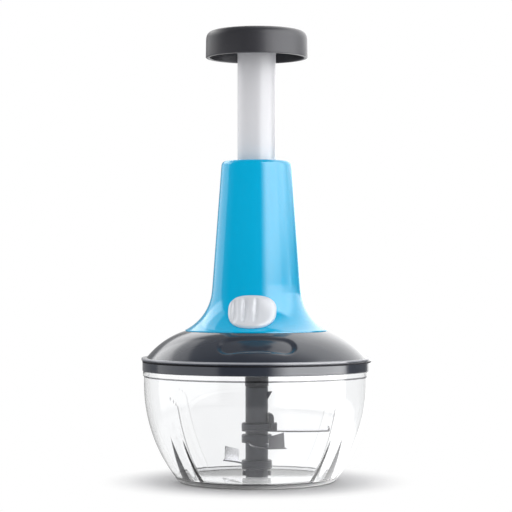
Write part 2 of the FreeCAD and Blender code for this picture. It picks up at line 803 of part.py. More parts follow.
def lock_window(body, label, reach, width):
    """A slot through the front wall, as wide as the lock's tongue sweeps."""
    sketch = new_sketch(body, f"{label}_sketch", "XZ_Plane")
    half = f"(0.5 * {width} + window_gap + waist_radius * sin(lock_rest * 1 deg) * 1.15)"
    low = "tongue_level - window_gap"
    high = "tongue_level + tongue_height + window_gap"
    draw_outline(sketch, [(f"-{half}", low), (half, low), (half, high), (f"-{half}", high)])
    return extrude(body, label, sketch, reach, cut=True, back=True)


def make_guide_tube():
    body = new_body("guide_tube")
    inner = "guide_radius"
    outer = "(guide_radius + guide_wall)"
    turn_about_axis(body, "guide_profile", [
        (inner, "housing_level"), (outer, "housing_level"), (outer, GUIDE_TOP), (inner, GUIDE_TOP),
    ])
    rib = new_sketch(body, "guide_rib_sketch", "XY_Plane", shift="housing_level + spring_wire")
    half = "(0.5 * guide_rib_width)"
    depth = "(guide_radius - guide_rib_depth)"
    draw_outline(rib, [
        (depth, f"-{half}"), (f"{inner} + 0.5 * guide_wall", f"-{half}"),
        (f"{inner} + 0.5 * guide_wall", half), (depth, half),
    ])
    ridge = extrude(body, "guide_rib", rib, f"{STOP_LEVEL} - housing_level - spring_wire")
    repeat_around(body, "guide_ribs", ridge, "2")
    lock_window(body, "guide_window", "2 * guide_radius", "tongue_width")
    return body


def make_top_bush():
    body = new_body("top_bush")
    bore = "(tube_radius + tube_clearance)"
    flange = "(guide_radius + guide_wall + bush_overhang)"
    turn_about_axis(body, "top_bush_profile", [
        (bore, STOP_TOP), ("guide_radius", STOP_TOP), ("guide_radius", GUIDE_TOP),
        (flange, GUIDE_TOP), (flange, TOWER_ROOF), (bore, TOWER_ROOF),
    ])
    return body


# plunger

def make_press_cap():
    body = new_body("press_cap")
    socket = "(tube_radius + cap_wall)"
    turn_about_axis(body, "cap_profile", [
        ("cap_radius - cap_wall", "cap_level"),
        ("cap_radius + cap_flare", "cap_level"),
        ("cap_radius", CAP_TOP),
        ("0", CAP_TOP),
        ("0", "tube_top_level"),
        ("boss_radius", "tube_top_level"),
        ("boss_radius", CAP_ROOF),
        ("tube_radius", CAP_ROOF),
        ("tube_radius", f"{CAP_ROOF} - cap_socket_depth"),
        (socket, f"{CAP_ROOF} - cap_socket_depth"),
        (socket, CAP_ROOF),
        ("cap_radius - cap_wall", CAP_ROOF),
    ])
    soften(body, "cap_edge_round", [("cap_radius", CAP_TOP)], "cap_edge")
    soften(body, "cap_inner_round", [("cap_radius - cap_wall", CAP_ROOF)], "cap_edge - 0.8 * cap_wall")
    web = new_sketch(body, "cap_web_sketch", "XZ_Plane")
    draw_outline(web, [
        (f"{socket} - cut_overlap", f"{CAP_ROOF} - cap_rib_depth"),
        ("cap_radius - 0.5 * cap_wall", f"{CAP_ROOF} - 1.2 * cap_rib_depth"),
        ("cap_radius - 0.5 * cap_wall", f"{CAP_TOP} - 1.2 * cap_edge"),
        (f"{socket} - cut_overlap", f"{CAP_ROOF} + 0.5 * cap_wall"),
    ])
    rib = extrude(body, "cap_web", web, "0.7 * cap_wall", both=True)
    repeat_around(body, "cap_webs", rib, "6")
    hole = new_sketch(body, "cap_screw_hole_sketch", "XY_Plane", shift="tube_top_level")
    draw_circle(hole, "screw_radius")
    extrude(body, "cap_screw_hole", hole, "screw_length - tube_wall", cut=True, back=True)
    return body


def make_plunger_tube():
    body = new_body("plunger_tube")
    roof = "(tube_top_level - tube_wall)"
    turn_about_axis(body, "tube_profile", [
        (TUBE_BORE, "foot_level + foot_lip"), ("tube_radius", "foot_level + foot_lip"),
        ("tube_radius", "tube_top_level"), ("screw_radius", "tube_top_level"),
        ("screw_radius", roof), (TUBE_BORE, roof),
    ])
    foot_screw_holes(body)
    return body


def foot_screw_holes(body):
    """Three radial holes for the foot's screws, one of them at the back."""
    sketch = new_sketch(body, "foot_screw_sketch", "XZ_Plane")
    draw_circle(sketch, "screw_radius", ("0", FOOT_SCREW_LEVEL))
    hole = extrude(body, "foot_screw_hole", sketch, "collar_reach + cut_overlap", cut=True)
    return repeat_around(body, "foot_screw_holes", hole, "3")


def make_plunger_foot():
    body = new_body("plunger_foot")
    turn_about_axis(body, "foot_profile", [
        ("foot_bore", "foot_level"), ("collar_reach", "foot_level"), ("collar_reach", FOOT_TOP),
        ("tube_radius", FOOT_TOP), ("tube_radius", "foot_level + foot_lip"),
        ("foot_bore", "foot_level + foot_lip"),
    ])
    foot_screw_holes(body)
    half = "(0.5 * guide_rib_width + 2 * running_gap)"
    depth = "(guide_radius - guide_rib_depth - 2 * running_gap)"
    rim = "(collar_reach + cut_overlap)"
    notch = new_sketch(body, "rib_notch_sketch", "XY_Plane", shift="foot_level")
    draw_outline(notch, [(depth, f"-{half}"), (rim, f"-{half}"), (rim, half), (depth, half)])
    slot = extrude(body, "rib_notch", notch, "foot_depth", cut=True, back=True)
    repeat_around(body, "rib_notches", slot, "2")
    gate = new_sketch(body, "lock_gate_sketch", "XY_Plane", shift="foot_level")
    across = "(tongue_reach * sin(lock_rest * 1 deg))"
    left = f"(-{across} - 0.5 * tongue_width - 3 * running_gap)"
    right = f"(-{across} + 0.5 * tongue_width + 2 * running_gap)"
    reach = "(tongue_reach - 2 * running_gap)"
    draw_outline(gate, [
        (f"{left} - running_gap", f"-{rim}"), (right, f"-{rim}"), (right, f"-{reach}"), (left, f"-{reach}"),
    ])
    extrude(body, "lock_gate", gate, "foot_depth", cut=True, back=True)
    return body


def twisted_bar(half_width, half_thickness, bottom, top, step=15.0):
    """A flat bar twisted right-handed about Z, as ruled strips between turned sections."""
    lead = number("rod_lead")
    count = max(2, math.ceil((top - bottom) / lead * 360 / step) + 1)
    sections = []
    for index in range(count):
        level = bottom + (top - bottom) * index / (count - 1)
        turn = Rotation(Vector(0, 0, 1), 360 * (level - number("rod_level")) / lead)
        corners = [(-1, -1), (1, -1), (1, 1), (-1, 1), (-1, -1)]
        points = [Vector(x * half_width, y * half_thickness, 0) for x, y in corners]
        lift = Vector(0, 0, level)
        sections.append(Part.makePolygon([turn.multVec(point) + lift for point in points]))
    return Part.makeLoft(sections, True, True)


def shaped(label, shape):
    """A sub-part whose shape is made in code."""
    feature = doc.addObject("Part::Feature", label)
    feature.Label = label
    feature.Shape = shape
    return feature


def make_twist_rod():
    bottom = number("driver_level + 2 * running_gap")
    journal = Part.makeCylinder(number("journal_radius"), number("rod_level + cut_overlap") - bottom,
                                Vector(0, 0, bottom))
    bar = twisted_bar(number("0.5 * rod_width"), number("0.5 * rod_thickness"),
                      number("rod_level"), number("rod_top_level"))
    pin_hole = cross_pin()
    return shaped("twist_rod", journal.fuse(bar).cut(pin_hole).removeSplitter())


def cross_pin(play="0"):
    """The round bar that crosses the driver and the rod."""
    radius = number("driver_pin_radius")
    reach = number(f"crown_radius - driver_pin_inset - {play}")
    level = number("driver_level + 0.55 * driver_thickness")
    return Part.makeCylinder(radius, 2 * reach, Vector(-reach, 0, level), Vector(1, 0, 0))


def make_drive_nut():
    bottom = number("foot_level + foot_lip")
    height = number("nut_height")
    gap = number("rod_clearance")
    overlap = number("cut_overlap")
    blank = Part.makeCylinder(number(TUBE_BORE), height, Vector(0, 0, bottom))
    slot = twisted_bar(number("0.5 * rod_width") + gap, number("0.5 * rod_thickness") + gap,
                       bottom - overlap, bottom + height + overlap)
    return shaped("drive_nut", blank.cut([slot, *foot_screw_solids()]))


def around_axis(shape, count, first=0.0):
    """Copies of a shape at even angles about Z."""
    turned = [shape.copy() for _ in range(count)]
    for index, copy in enumerate(turned):
        copy.rotate(Vector(0, 0, 0), Vector(0, 0, 1), first + 360 * index / count)
    return turned


def foot_screw_solids():
    """Grub screws from the collar's rim into the nut."""
    inner = number("foot_bore")
    length = number("collar_reach - 2 * running_gap") - inner
    screw = Part.makeCylinder(number("screw_radius"), length,
                              Vector(inner, 0, number(FOOT_SCREW_LEVEL)), Vector(1, 0, 0))
    return around_axis(screw, 3, 90)


def make_foot_screws():
    return shaped("foot_screws", Part.makeCompound(foot_screw_solids()))


def pan_screw(place, direction, length):
    """A screw whose head sits at a place and whose shank runs along a direction."""
    head = Part.makeCylinder(number("screw_head_radius"), number("screw_head_height"),
                             place, direction * -1)
    shank = Part.makeCylinder(number("screw_radius"), length, place, direction)
    return head.fuse(shank).removeSplitter()


def make_cap_screw():
    place = Vector(0, 0, number("tube_top_level - tube_wall"))
    return shaped("cap_screw", pan_screw(place, Vector(0, 0, 1), number("screw_length")))


def make_return_spring():
    """A six-sided wire along a helix, as ruled strips between upright sections."""
    low = number("housing_level + seat_height + 0.5 * spring_wire")
    high = number("foot_level - 0.5 * spring_wire")
    wire = number("0.5 * spring_wire")
    steps = int(number("spring_coils") * 16)
    sections = []
    for index in range(steps + 1):
        turn = Rotation(Vector(0, 0, 1), 360 * index / 16)
        level = Vector(0, 0, low + (high - low) * index / steps)
        corners = [math.radians(60 * corner) for corner in range(7)]
        points = [Vector(number("spring_radius") + wire * math.cos(corner), 0, wire * math.sin(corner))
                  for corner in corners]
        sections.append(Part.makePolygon([turn.multVec(point) + level for point in points]))
    return shaped("return_spring", Part.makeLoft(sections, True, True))


# drive under the lid

def make_drive_hub():
    body = new_body("drive_hub")
    flange_top = "(hub_flange_level + hub_flange_height)"
    turn_about_axis(body, "hub_profile", [
        ("0", HUB_BOTTOM), ("hub_sleeve_radius", HUB_BOTTOM),
        ("hub_sleeve_radius", "hub_flange_level"), ("hub_flange_radius", "hub_flange_level"),
        ("hub_flange_radius", flange_top), ("hub_neck_radius", flange_top),
        ("hub_neck_radius", "crown_level"), ("crown_bore", "crown_level"),
        ("crown_bore", HUB_TOP), ("0", HUB_TOP),
    ])
    soften(body, "hub_flange_edge", [("hub_flange_radius", "hub_flange_level")], "hub_edge")
    socket = new_sketch(body, "hex_socket_sketch", "XY_Plane", shift=HUB_BOTTOM)
    draw_hexagon(socket, "drive_hex + 1.5 * running_gap")
    extrude(body, "hex_socket", socket, "socket_height", cut=True, back=True)
    bore = new_sketch(body, "hub_screw_bore_sketch", "XY_Plane", shift=HUB_TOP)
    draw_circle(bore, "screw_radius")
    extrude(body, "hub_screw_bore", bore, f"{HUB_TOP} - {HUB_BOTTOM} - socket_height", cut=True)
    return body


def make_hub_bush():
    body = new_body("hub_bush")
    bore = "(hub_neck_radius + running_gap)"
    boss_top = "(cover_level + cover_boss_height)"
    turn_about_axis(body, "hub_bush_profile", [
        (bore, "cover_level"), ("bush_radius", "cover_level"), ("bush_radius", boss_top),
        ("bush_radius + bush_rim", boss_top), ("bush_radius + bush_rim", "crown_level - running_gap"),
        (bore, "crown_level - running_gap"),
    ])
    return body


def draw_tooth(sketch, level, rise, width):
    """A saw tooth with its upright face near the radius and its ramp to one side."""
    draw_outline(sketch, [
        (f"0.05 * {width}", level), (width, level), (f"0.3 * {width}", f"{level} + {rise}"),
        (f"0.05 * {width}", f"{level} + {rise}"),
    ])


def make_ratchet_crown():
    body = new_body("ratchet_crown")
    top = "(crown_level + crown_thickness)"
    turn_about_axis(body, "crown_disc", [
        ("screw_radius", HUB_TOP), ("crown_bore", HUB_TOP), ("crown_bore", "crown_level"),
        ("crown_radius", "crown_level"), ("crown_radius", top), ("screw_radius", top),
    ])
    sketch = new_sketch(body, "crown_tooth_sketch", "YZ_Plane", shift="crown_bore")
    draw_tooth(sketch, f"{top} - running_gap", "(tooth_height + running_gap)", "tooth_width")
    tooth = extrude(body, "crown_tooth", sketch, "crown_radius - crown_bore - 2 * running_gap")
    repeat_around(body, "crown_teeth", tooth, "tooth_count")
    return body


def make_hub_screw():
    place = Vector(0, 0, number("crown_level + crown_thickness"))
    length = number(f"crown_level + crown_thickness - {HUB_BOTTOM} - socket_height - 2.5 * running_gap")
    return shaped("hub_screw", pan_screw(place, Vector(0, 0, -1), length))


def make_ratchet_driver():
    body = new_body("ratchet_driver")
    top = "(driver_level + driver_thickness)"
    turn_about_axis(body, "driver_disc", [
        ("journal_radius", "driver_level"), ("crown_radius", "driver_level"),
        ("crown_radius", f"{top} - driver_edge"), ("crown_radius - driver_edge", top),
        ("journal_radius", top),
    ])
    sketch = new_sketch(body, "driver_tooth_sketch", "YZ_Plane", shift="crown_bore")
    draw_tooth(sketch, "(driver_level + running_gap)", "(-tooth_height - running_gap)", "(-tooth_width)")
    tooth = extrude(body, "driver_tooth", sketch, "crown_radius - crown_bore - 2 * running_gap")
    repeat_around(body, "driver_teeth", tooth, "tooth_count")
    hole = new_sketch(body, "driver_pin_sketch", "YZ_Plane")
    draw_circle(hole, "driver_pin_radius", ("0", "driver_level + 0.55 * driver_thickness"))
    extrude(body, "driver_pin_hole", hole, "2 * (crown_radius - driver_pin_inset)", cut=True, both=True)
    return body


def make_driver_pin():
    return shaped("driver_pin", cross_pin("driver_pin_play"))


def make_clutch_housing():
    body = new_body("clutch_housing")
    inner = "(housing_radius - housing_wall)"
    roof = "(housing_level - housing_wall)"
    flange = f"({COVER_TOP} + housing_wall)"
    turn_about_axis(body, "housing_profile", [
        (inner, COVER_TOP), ("housing_foot_radius", COVER_TOP), ("housing_foot_radius", flange),
        ("housing_radius", flange), ("housing_radius", "housing_level"),
        (ROD_BUSH_RADIUS, "housing_level"), (ROD_BUSH_RADIUS, roof), (inner, roof),
    ])
    bores(body, "flange_holes", HOUSING_SCREW, flange, "housing_wall + cut_overlap", "3")
    return body


def make_rod_bush():
    return ring_of("rod_bush", "journal_radius + running_gap", ROD_BUSH_RADIUS,
                   "housing_level - housing_wall", "housing_level + rod_bush_rise")


def make_spring_seat():
    return ring_of("spring_seat", f"{ROD_BUSH_RADIUS} + running_gap", "guide_radius - running_gap",
                   "housing_level", "housing_level + seat_height")


def make_stop_ring():
    return ring_of("stop_ring", "tube_radius + tube_clearance", "guide_radius", STOP_LEVEL, STOP_TOP)


# lock

def button_band(label, low_depth, high_depth):
    """A band round the tower's flare, between two distances off the button's back along its slope."""
    band = new_body(label)
    gap = "(-2 * running_gap)"
    low = "(button_level - 0.5 * button_height - 0.6 * button_thickness)"
    high = "(button_level + 0.5 * button_height + cut_overlap)"
    bend = f"flare_radius + {gap}"
    back = (f"({BUTTON_OUT} * {low_depth})", f"({BUTTON_UP} * {low_depth})")
    face = (f"({BUTTON_OUT} * {high_depth})", f"({BUTTON_UP} * {high_depth})")
    turn_about_axis(band, f"{label}_profile", [
        (f"{flare_radius_at(low, gap)} + {face[0]}", f"{low} + {face[1]}"),
        (f"{flare_radius_at(high, gap)} + {face[0]}", f"{high} + {face[1]}", bend, -1),
        (f"{flare_radius_at(high, gap)} + {back[0]}", f"{high} + {back[1]}"),
        (f"{flare_radius_at(low, gap)} + {back[0]}", f"{low} + {back[1]}", bend, 1),
    ])
    return band


def make_lock_button(bolt):
    """An oval slice of a shell that follows the tower, with upright finger grooves in its face."""
    prism = new_body("button_prism")
    outline = new_sketch(prism, "button_oval", "XZ_Plane")
    draw_oval(outline)
    extrude(prism, "button_block", outline, "flare_radius + waist_radius")
    plain = boolean("Common", "button_plain", prism, button_band("button_shell", "0", "button_thickness"))
    strips = new_body("groove_prism")
    marks = new_sketch(strips, "groove_marks", "XZ_Plane")
    for step in (-1.5, -0.5, 0.5):
        draw_groove(marks, f"({step} * groove_pitch)")
    extrude(strips, "groove_block", marks, "flare_radius + waist_radius")
    face = button_band("groove_band", "(button_thickness - groove_depth)", "(2 * button_thickness)")
    grooves = boolean("Common", "button_grooves", strips, face)
    blank = stand(boolean("Cut", "button_blank", plain, grooves), angle="-lock_rest")
    return boolean("Cut", "lock_button", blank, bolt)


def draw_oval(sketch):
    """The button's outline: two end arcs joined by two flatter ones that touch them."""
    end = "button_end_radius"
    middle = f"(0.5 * button_length - {end})"
    rise = "(0.5 * button_height)"
    flat = f"(({middle} ^ 2 + {rise} ^ 2 - {end} ^ 2) / (2 * ({rise} - {end})))"
    across = f"({middle} * {flat} / ({flat} - {end}))"
    up = f"({end} * ({flat} - {rise}) / ({flat} - {end}))"
    low, high = f"button_level - {up}", f"button_level + {up}"
    draw_outline(sketch, [
        (across, low, flat, 1), (across, high, end, 1),
        (f"-{across}", high, flat, 1), (f"-{across}", low, end, 1),
    ])


def draw_groove(sketch, across):
    """An upright slot with round ends, at button height."""
    half = "(0.5 * groove_width)"
    low = "button_level - 0.5 * groove_height"
    high = "button_level + 0.5 * groove_height"
    left, right = f"{across} - {half}", f"{across} + {half}"
    draw_outline(sketch, [
        (right, low, half, 1), (right, high), (across, f"{high} + {half}", half, 1),
        (left, high, half, 1), (left, low), (across, f"{low} - {half}", half, 1),
    ])


def make_lock_bolt():
    """A flat tongue from the button in to where the plunger's foot stops."""
    body = new_body("lock_bolt")
    half = "(0.5 * tongue_width)"
    outer = f"({flare_radius_at('tongue_level')} + 0.6 * button_thickness)"
    plan = new_sketch(body, "tongue_plan", "XY_Plane", shift="tongue_level")
    draw_outline(plan, [
        (f"-{half}", "-tongue_reach"), (f"-{half}", f"-{outer}"), (half, f"-{outer}"),
        (half, "-tongue_reach"),
    ])
    extrude(body, "tongue", plan, "tongue_height")
    return stand(body, angle="-lock_rest")


# screws that hold the shells

def screw_group(label, count, circle, level, direction, length, first):
    """Pan screws on a circle, all pointing up or all pointing down."""
    screw = pan_screw(Vector(circle, 0, level), Vector(0, 0, direction), length)
    return shaped(label, Part.makeCompound(around_axis(screw, count, first)))


def make_cover_screws():
    """Up through the cover plate's cups into the lid."""
    level = number("cover_level + 1.5 * screw_head_height")
    return screw_group("cover_screws", 4, number(COVER_SCREW_CIRCLE), level, 1,
                       number("screw_length"), 45)


def make_tower_screws():
    """Up through the lid's deck into the tower's posts."""
    level = number(f"{SEAT_LEVEL} - lid_wall")
    return screw_group("tower_screws", 4, number("tower_screw_circle"), level, 1,
                       number("screw_length"), 45)


def make_housing_screws():
    """Down through the housing's foot into the cover plate."""
    level = number(f"{COVER_TOP} + housing_wall")
    length = number("housing_wall + 0.7 * cover_thickness")
    return screw_group("housing_screws", 3, number(HOUSING_SCREW_CIRCLE), level, -1, length, 90)


def build_all():
    makers = [
        make_base_ring, make_bowl, make_pivot_pin, make_blade_shaft, make_lid, make_cover_plate,
        make_gasket, make_tower, make_guide_tube, make_top_bush, make_stop_ring, make_press_cap,
        make_plunger_tube, make_plunger_foot, make_drive_nut, make_twist_rod, make_foot_screws,
        make_cap_screw, make_return_spring, make_drive_hub, make_hub_bush, make_ratchet_crown,
        make_hub_screw, make_ratchet_driver, make_driver_pin, make_clutch_housing, make_rod_bush,
        make_spring_seat, make_lock_bolt, make_cover_screws, make_tower_screws, make_housing_screws,
    ]
    pieces = [maker() for maker in makers]
    bolt = next(piece for piece in pieces if piece.Label == "lock_bolt")
    return pieces + make_blades() + [make_lock_button(bolt)]


def check(pieces):
    """Stops if any feature failed or any piece is null, invalid or not solid."""
    doc.recompute()
    for item in doc.Objects:
        if {"Invalid", "Error"} & set(item.State):
            raise RuntimeError(f"{item.Label} failed: {item.State}")
    for piece in pieces:
        shape = piece.Shape
        if shape.isNull() or not shape.isValid() or not shape.Solids:
            raise RuntimeError(f"{piece.Label} has no sound shape")


pieces = build_all()
check(pieces)
os.makedirs("parts", exist_ok=True)
for piece in pieces:
    piece.Shape.exportStep(f"parts/{piece.Label}.step")
    print(piece.Label, len(piece.Shape.Solids), round(piece.Shape.Volume, 1))
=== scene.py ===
import bpy
import bmesh
from math import asin, atan2, cos, degrees, exp, hypot, pi, radians, sin, sqrt, tan
from mathutils import Matrix, Vector


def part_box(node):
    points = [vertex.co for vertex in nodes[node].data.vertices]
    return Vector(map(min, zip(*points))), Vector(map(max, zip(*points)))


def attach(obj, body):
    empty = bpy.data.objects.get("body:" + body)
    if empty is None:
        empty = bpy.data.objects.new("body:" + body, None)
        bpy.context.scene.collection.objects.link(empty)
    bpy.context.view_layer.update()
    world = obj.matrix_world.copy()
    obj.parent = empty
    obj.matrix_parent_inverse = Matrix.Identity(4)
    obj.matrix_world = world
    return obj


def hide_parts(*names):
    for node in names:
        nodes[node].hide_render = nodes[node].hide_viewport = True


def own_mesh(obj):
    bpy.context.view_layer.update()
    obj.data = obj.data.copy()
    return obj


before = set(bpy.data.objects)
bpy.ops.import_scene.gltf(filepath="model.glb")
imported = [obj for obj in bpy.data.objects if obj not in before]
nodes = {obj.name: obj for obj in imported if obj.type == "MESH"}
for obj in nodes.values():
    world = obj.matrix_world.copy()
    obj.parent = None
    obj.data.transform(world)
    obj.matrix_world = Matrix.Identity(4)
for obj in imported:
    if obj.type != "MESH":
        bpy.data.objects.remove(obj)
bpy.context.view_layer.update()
mm = 0.001  # outlines below are in millimetres


class Sizes(dict):
    # a dictionary whose entries are read by name
    __getattr__ = dict.__getitem__


# where the CAD pieces are, in millimetres

def lowOf(node):
    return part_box(node)[0][2] / mm


def highOf(node):
    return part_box(node)[1][2] / mm


def radiusOf(node):
    low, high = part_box(node)
    return (high[0] - low[0]) / 2 / mm


# outlines: lists of (radius, level), or (across, up)

def clamped(value):
    return min(max(value, 0), 1)


def softStep(share):
    return share * share * (3 - 2 * share)


def levels(low, high, count):
    return [low + (high - low) * step / count for step in range(count + 1)]


def evenTurns(count):
    return levels(0, 360, count)[:-1]


def profile(rule, low, high, rows, *more):
    # points whose radius a rule gives for each level
    return [(rule(level, *more), level) for level in levels(low, high, rows)]


columns = evenTurns(200)


def bulge(first, last, radius, steps):
    # the short arc from first to last, with its middle on the left for a positive radius
    dx, dy = last[0] - first[0], last[1] - first[1]
    half = hypot(dx, dy) / 2
    reach = sqrt(max(radius * radius - half * half, 0)) * (1 if radius > 0 else -1)
    mx = (first[0] + last[0]) / 2 - dy / (2 * half) * reach
    my = (first[1] + last[1]) / 2 + dx / (2 * half) * reach
    start = atan2(first[1] - my, first[0] - mx)
    end = atan2(last[1] - my, last[0] - mx)
    while end - start > pi:
        end -= 2 * pi
    while end - start < -pi:
        end += 2 * pi
    return [(mx + abs(radius) * cos(turn), my + abs(radius) * sin(turn)) for turn in levels(start, end, steps)]


def eased(points, steps=5):
    # rounds each corner given as (across, up, radius)
    nearHalf = 0.49  # of a side, so that two corners can't meet
    result = []
    for index, point in enumerate(points):
        if len(point) == 2:
            result.append(point)
            continue
        here = Vector(point[:2])
        before = Vector(points[index - 1][:2]) - here
        after = Vector(points[(index + 1) % len(points)][:2]) - here
        cut = min(point[2] / tan(before.angle(after) / 2), before.length * nearHalf, after.length * nearHalf)
        start = here + before.normalized() * cut
        end = here + after.normalized() * cut
        for part in levels(0, 1, steps):
            spot = start.lerp(here, part).lerp(here.lerp(end, part), part)
            result.append((spot.x, spot.y))
    return result


# meshes

def smoothed(mesh, sharp):
    mesh.polygons.foreach_set("use_smooth", [True] * len(mesh.polygons))
    mesh.set_sharp_from_angle(angle=radians(sharp))


def addItem(name, data):
    item = bpy.data.objects.new(name, data)
    bpy.context.scene.collection.objects.link(item)
    return item


def meshFrom(name, bm, sharp=30):
    mesh = bpy.data.meshes.new(name)
    bm.to_mesh(mesh)
    bm.free()
    smoothed(mesh, sharp)
    return addItem(name, mesh)


def objectFrom(name, bm, sharp=30):
    # the mesh with its seams merged and its faces outward
    bmesh.ops.remove_doubles(bm, verts=bm.verts, dist=1e-7)
    bmesh.ops.recalc_face_normals(bm, faces=bm.faces)
    return meshFrom(name, bm, sharp)


def bridge(bm, first, second):
    # faces between two closed rows of points, and triangles where a row is one point
    for step in range(len(first)):
        after = (step + 1) % len(first)
        corners = []
        for vert in (first[step], first[after], second[after], second[step]):
            if vert not in corners:
                corners.append(vert)
        if len(corners) > 2:
            bm.faces.new(corners)


def lathe(name, path, turns, sink=None, sharp=30, lean=None, shade=None):
    # turns a path about the upright axis; sink gives how far in and down a point moves, lean where it turns to,
    # shade how much painted shade it gets
    bm = bmesh.new()
    tones = bm.verts.layers.float.new("shade") if shade else None
    angles = [radians(turn) for turn in turns]
    rings = []
    for index, (radius, level) in enumerate(path):
        if radius == 0:
            rings.append([bm.verts.new((0, 0, level * mm))] * len(angles))
            continue
        ring = []
        for turn in angles:
            inward, down = sink(radius, level, turn, index) if sink else (0, 0)
            reach = (radius - inward) * mm
            where = lean(turn, level) if lean else turn
            vert = bm.verts.new((reach * cos(where), reach * sin(where), (level - down) * mm))
            if shade:
                vert[tones] = shade(level, turn, index)
            ring.append(vert)
        rings.append(ring)
    for lower, upper in zip(rings, rings[1:] + rings[:1]):
        bridge(bm, lower, upper)
    return objectFrom(name, bm, sharp)


def prism(name, outline, low, high, place):
    # stands an (across, up) outline on its plane and draws it out along the plane's normal
    bm = bmesh.new()
    bottom, top = [[bm.verts.new(place @ Vector((x * mm, y * mm, out * mm))) for x, y in outline]
                   for out in (low, high)]
    bm.faces.new(bottom)
    bm.faces.new(top)
    bridge(bm, bottom, top)
    return objectFrom(name, bm)


def discard(item):
    mesh = item.data
    bpy.data.objects.remove(item)
    bpy.data.meshes.remove(mesh)


def settle(piece, sharp=30):
    # makes the modifiers' result the piece's own mesh
    bpy.context.view_layer.update()
    seen = piece.evaluated_get(bpy.context.evaluated_depsgraph_get())
    mesh = bpy.data.meshes.new_from_object(seen)
    old = piece.data
    piece.modifiers.clear()
    piece.data = mesh
    mesh.name = piece.name
    bpy.data.meshes.remove(old)
    smoothed(mesh, sharp)
    return piece


def carve(piece, tool):
    change = piece.modifiers.new("carve", "BOOLEAN")
    change.operation = "DIFFERENCE"
    change.solver = "EXACT"
    change.object = tool
    settle(piece)
    discard(tool)


def bevelled(piece, width, segments):
    change = piece.modifiers.new("bevel", "BEVEL")
    change.width = width * mm
    change.segments = segments
    change.limit_method = "ANGLE"
    change.angle_limit = radians(35)
    settle(piece)


def joined(name, parts):
    # one object from several, which are removed
    bm = bmesh.new()
    for part in parts:
        bm.from_mesh(part.data)
        discard(part)
    return meshFrom(name, bm)


def finishPiece(piece, body, slot, finish, *replaced):
    piece.data.materials.clear()
    piece.data.materials.append(finishes[finish])
    if replaced:
        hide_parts(*replaced)
    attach(piece, body)


# nodes for shaders and shapes

def addNode(tree, kind, values=None, **settings):
    # a node whose inputs are set from values, or linked where a value is a socket
    node = tree.nodes.new(kind)
    for name, value in settings.items():
        setattr(node, name, value)
    for label, value in (values or {}).items():
        if isinstance(value, bpy.types.NodeSocket):
            tree.links.new(value, node.inputs[label])
        else:
            node.inputs[label].default_value = value
    return node


def shader(tree, kind, values=None, output=0, **settings):
    return addNode(tree, "ShaderNode" + kind, values, **settings).outputs[output]


def shape(tree, kind, values=None, **settings):
    return addNode(tree, "GeometryNode" + kind, values, **settings).outputs[0]


def sums(tree, operation, *values, clamp=False):
    return shader(tree, "Math", dict(enumerate(values)), operation=operation, use_clamp=clamp)


def mapped(tree, value, low, high, first=0.0, last=1.0, **settings):
    # from the range first to last, to the range low to high
    return shader(tree, "MapRange", {
        "Value": value, "From Min": first, "From Max": last, "To Min": low, "To Max": high}, **settings)


def mixed(tree, factor, first, second, blend="MIX"):
    return shader(tree, "Mix", {"Factor": factor, "A": first, "B": second}, "Result",
                  data_type="RGBA", blend_type=blend)


def placeOf(tree):
    return shader(tree, "TexCoord", output="Object")


# shader groups

def newGroup(name, inputs, outputs):
    tree = bpy.data.node_groups.new(name, "ShaderNodeTree")
    kinds = {"Color": "Color", "Roughness": "Float", "Normal": "Vector"}
    for label, value in inputs.items():
        kind = "NodeSocketColor" if isinstance(value, tuple) else "NodeSocketFloat"
        tree.interface.new_socket(name=label, in_out="INPUT", socket_type=kind).default_value = value
    for label in outputs:
        tree.interface.new_socket(name=label, in_out="OUTPUT", socket_type="NodeSocket" + kinds[label])
    return tree, tree.nodes.new("NodeGroupInput").outputs


def mouldedFinish():
    # the skin of moulded plastic: a fine grain, soft cloudy gloss and faint handling marks
    tree, given = newGroup("mouldedFinish", {
        "Color": (0.5, 0.5, 0.5, 1), "Roughness": 0.3, "Grain": 0.1, "Grain Scale": 2500.0, "Marks": 0.05,
    }, ["Color", "Roughness", "Normal"])
    place = placeOf(tree)
    cloud = shader(tree, "TexNoise", {"Vector": place, "Scale": 28.0, "Detail": 3.0})
    grain = shader(tree, "TexNoise", {"Vector": place, "Scale": given["Grain Scale"], "Detail": 2.0})
    streak = shader(tree, "TexNoise", {"Vector": place, "Scale": 160.0, "Detail": 5.0, "Roughness": 0.7})
    marks = sums(tree, "MULTIPLY", mapped(tree, streak, 0.0, 1.0, 0.55, 0.8), given["Marks"])
    gloss = sums(tree, "ADD", sums(tree, "ADD", given["Roughness"], marks), mapped(tree, cloud, -0.03, 0.03),
                 clamp=True)
    addNode(tree, "NodeGroupOutput", {
        "Color": mixed(tree, 1.0, given["Color"], mapped(tree, cloud, 0.96, 1.03), "MULTIPLY"),
        "Roughness": gloss,
        "Normal": shader(tree, "Bump", {"Distance": 0.0002, "Strength": given["Grain"], "Height": grain}),
    })
    return tree


def groundSteel():
    # fine parallel grinding lines and a slight change of gloss
    tree, given = newGroup("groundSteel", {"Roughness": 0.2, "Lines": 0.2}, ["Roughness", "Normal"])
    stretched = shader(tree, "Mapping", {"Vector": placeOf(tree), "Scale": (60.0, 2600.0, 900.0)})
    lines = shader(tree, "TexNoise", {"Vector": stretched, "Scale": 1.0, "Detail": 3.0})
    addNode(tree, "NodeGroupOutput", {
        "Roughness": sums(tree, "ADD", given["Roughness"], mapped(tree, lines, -0.08, 0.1), clamp=True),
        "Normal": shader(tree, "Bump", {"Distance": 0.0001, "Strength": given["Lines"], "Height": lines}),
    })
    return tree


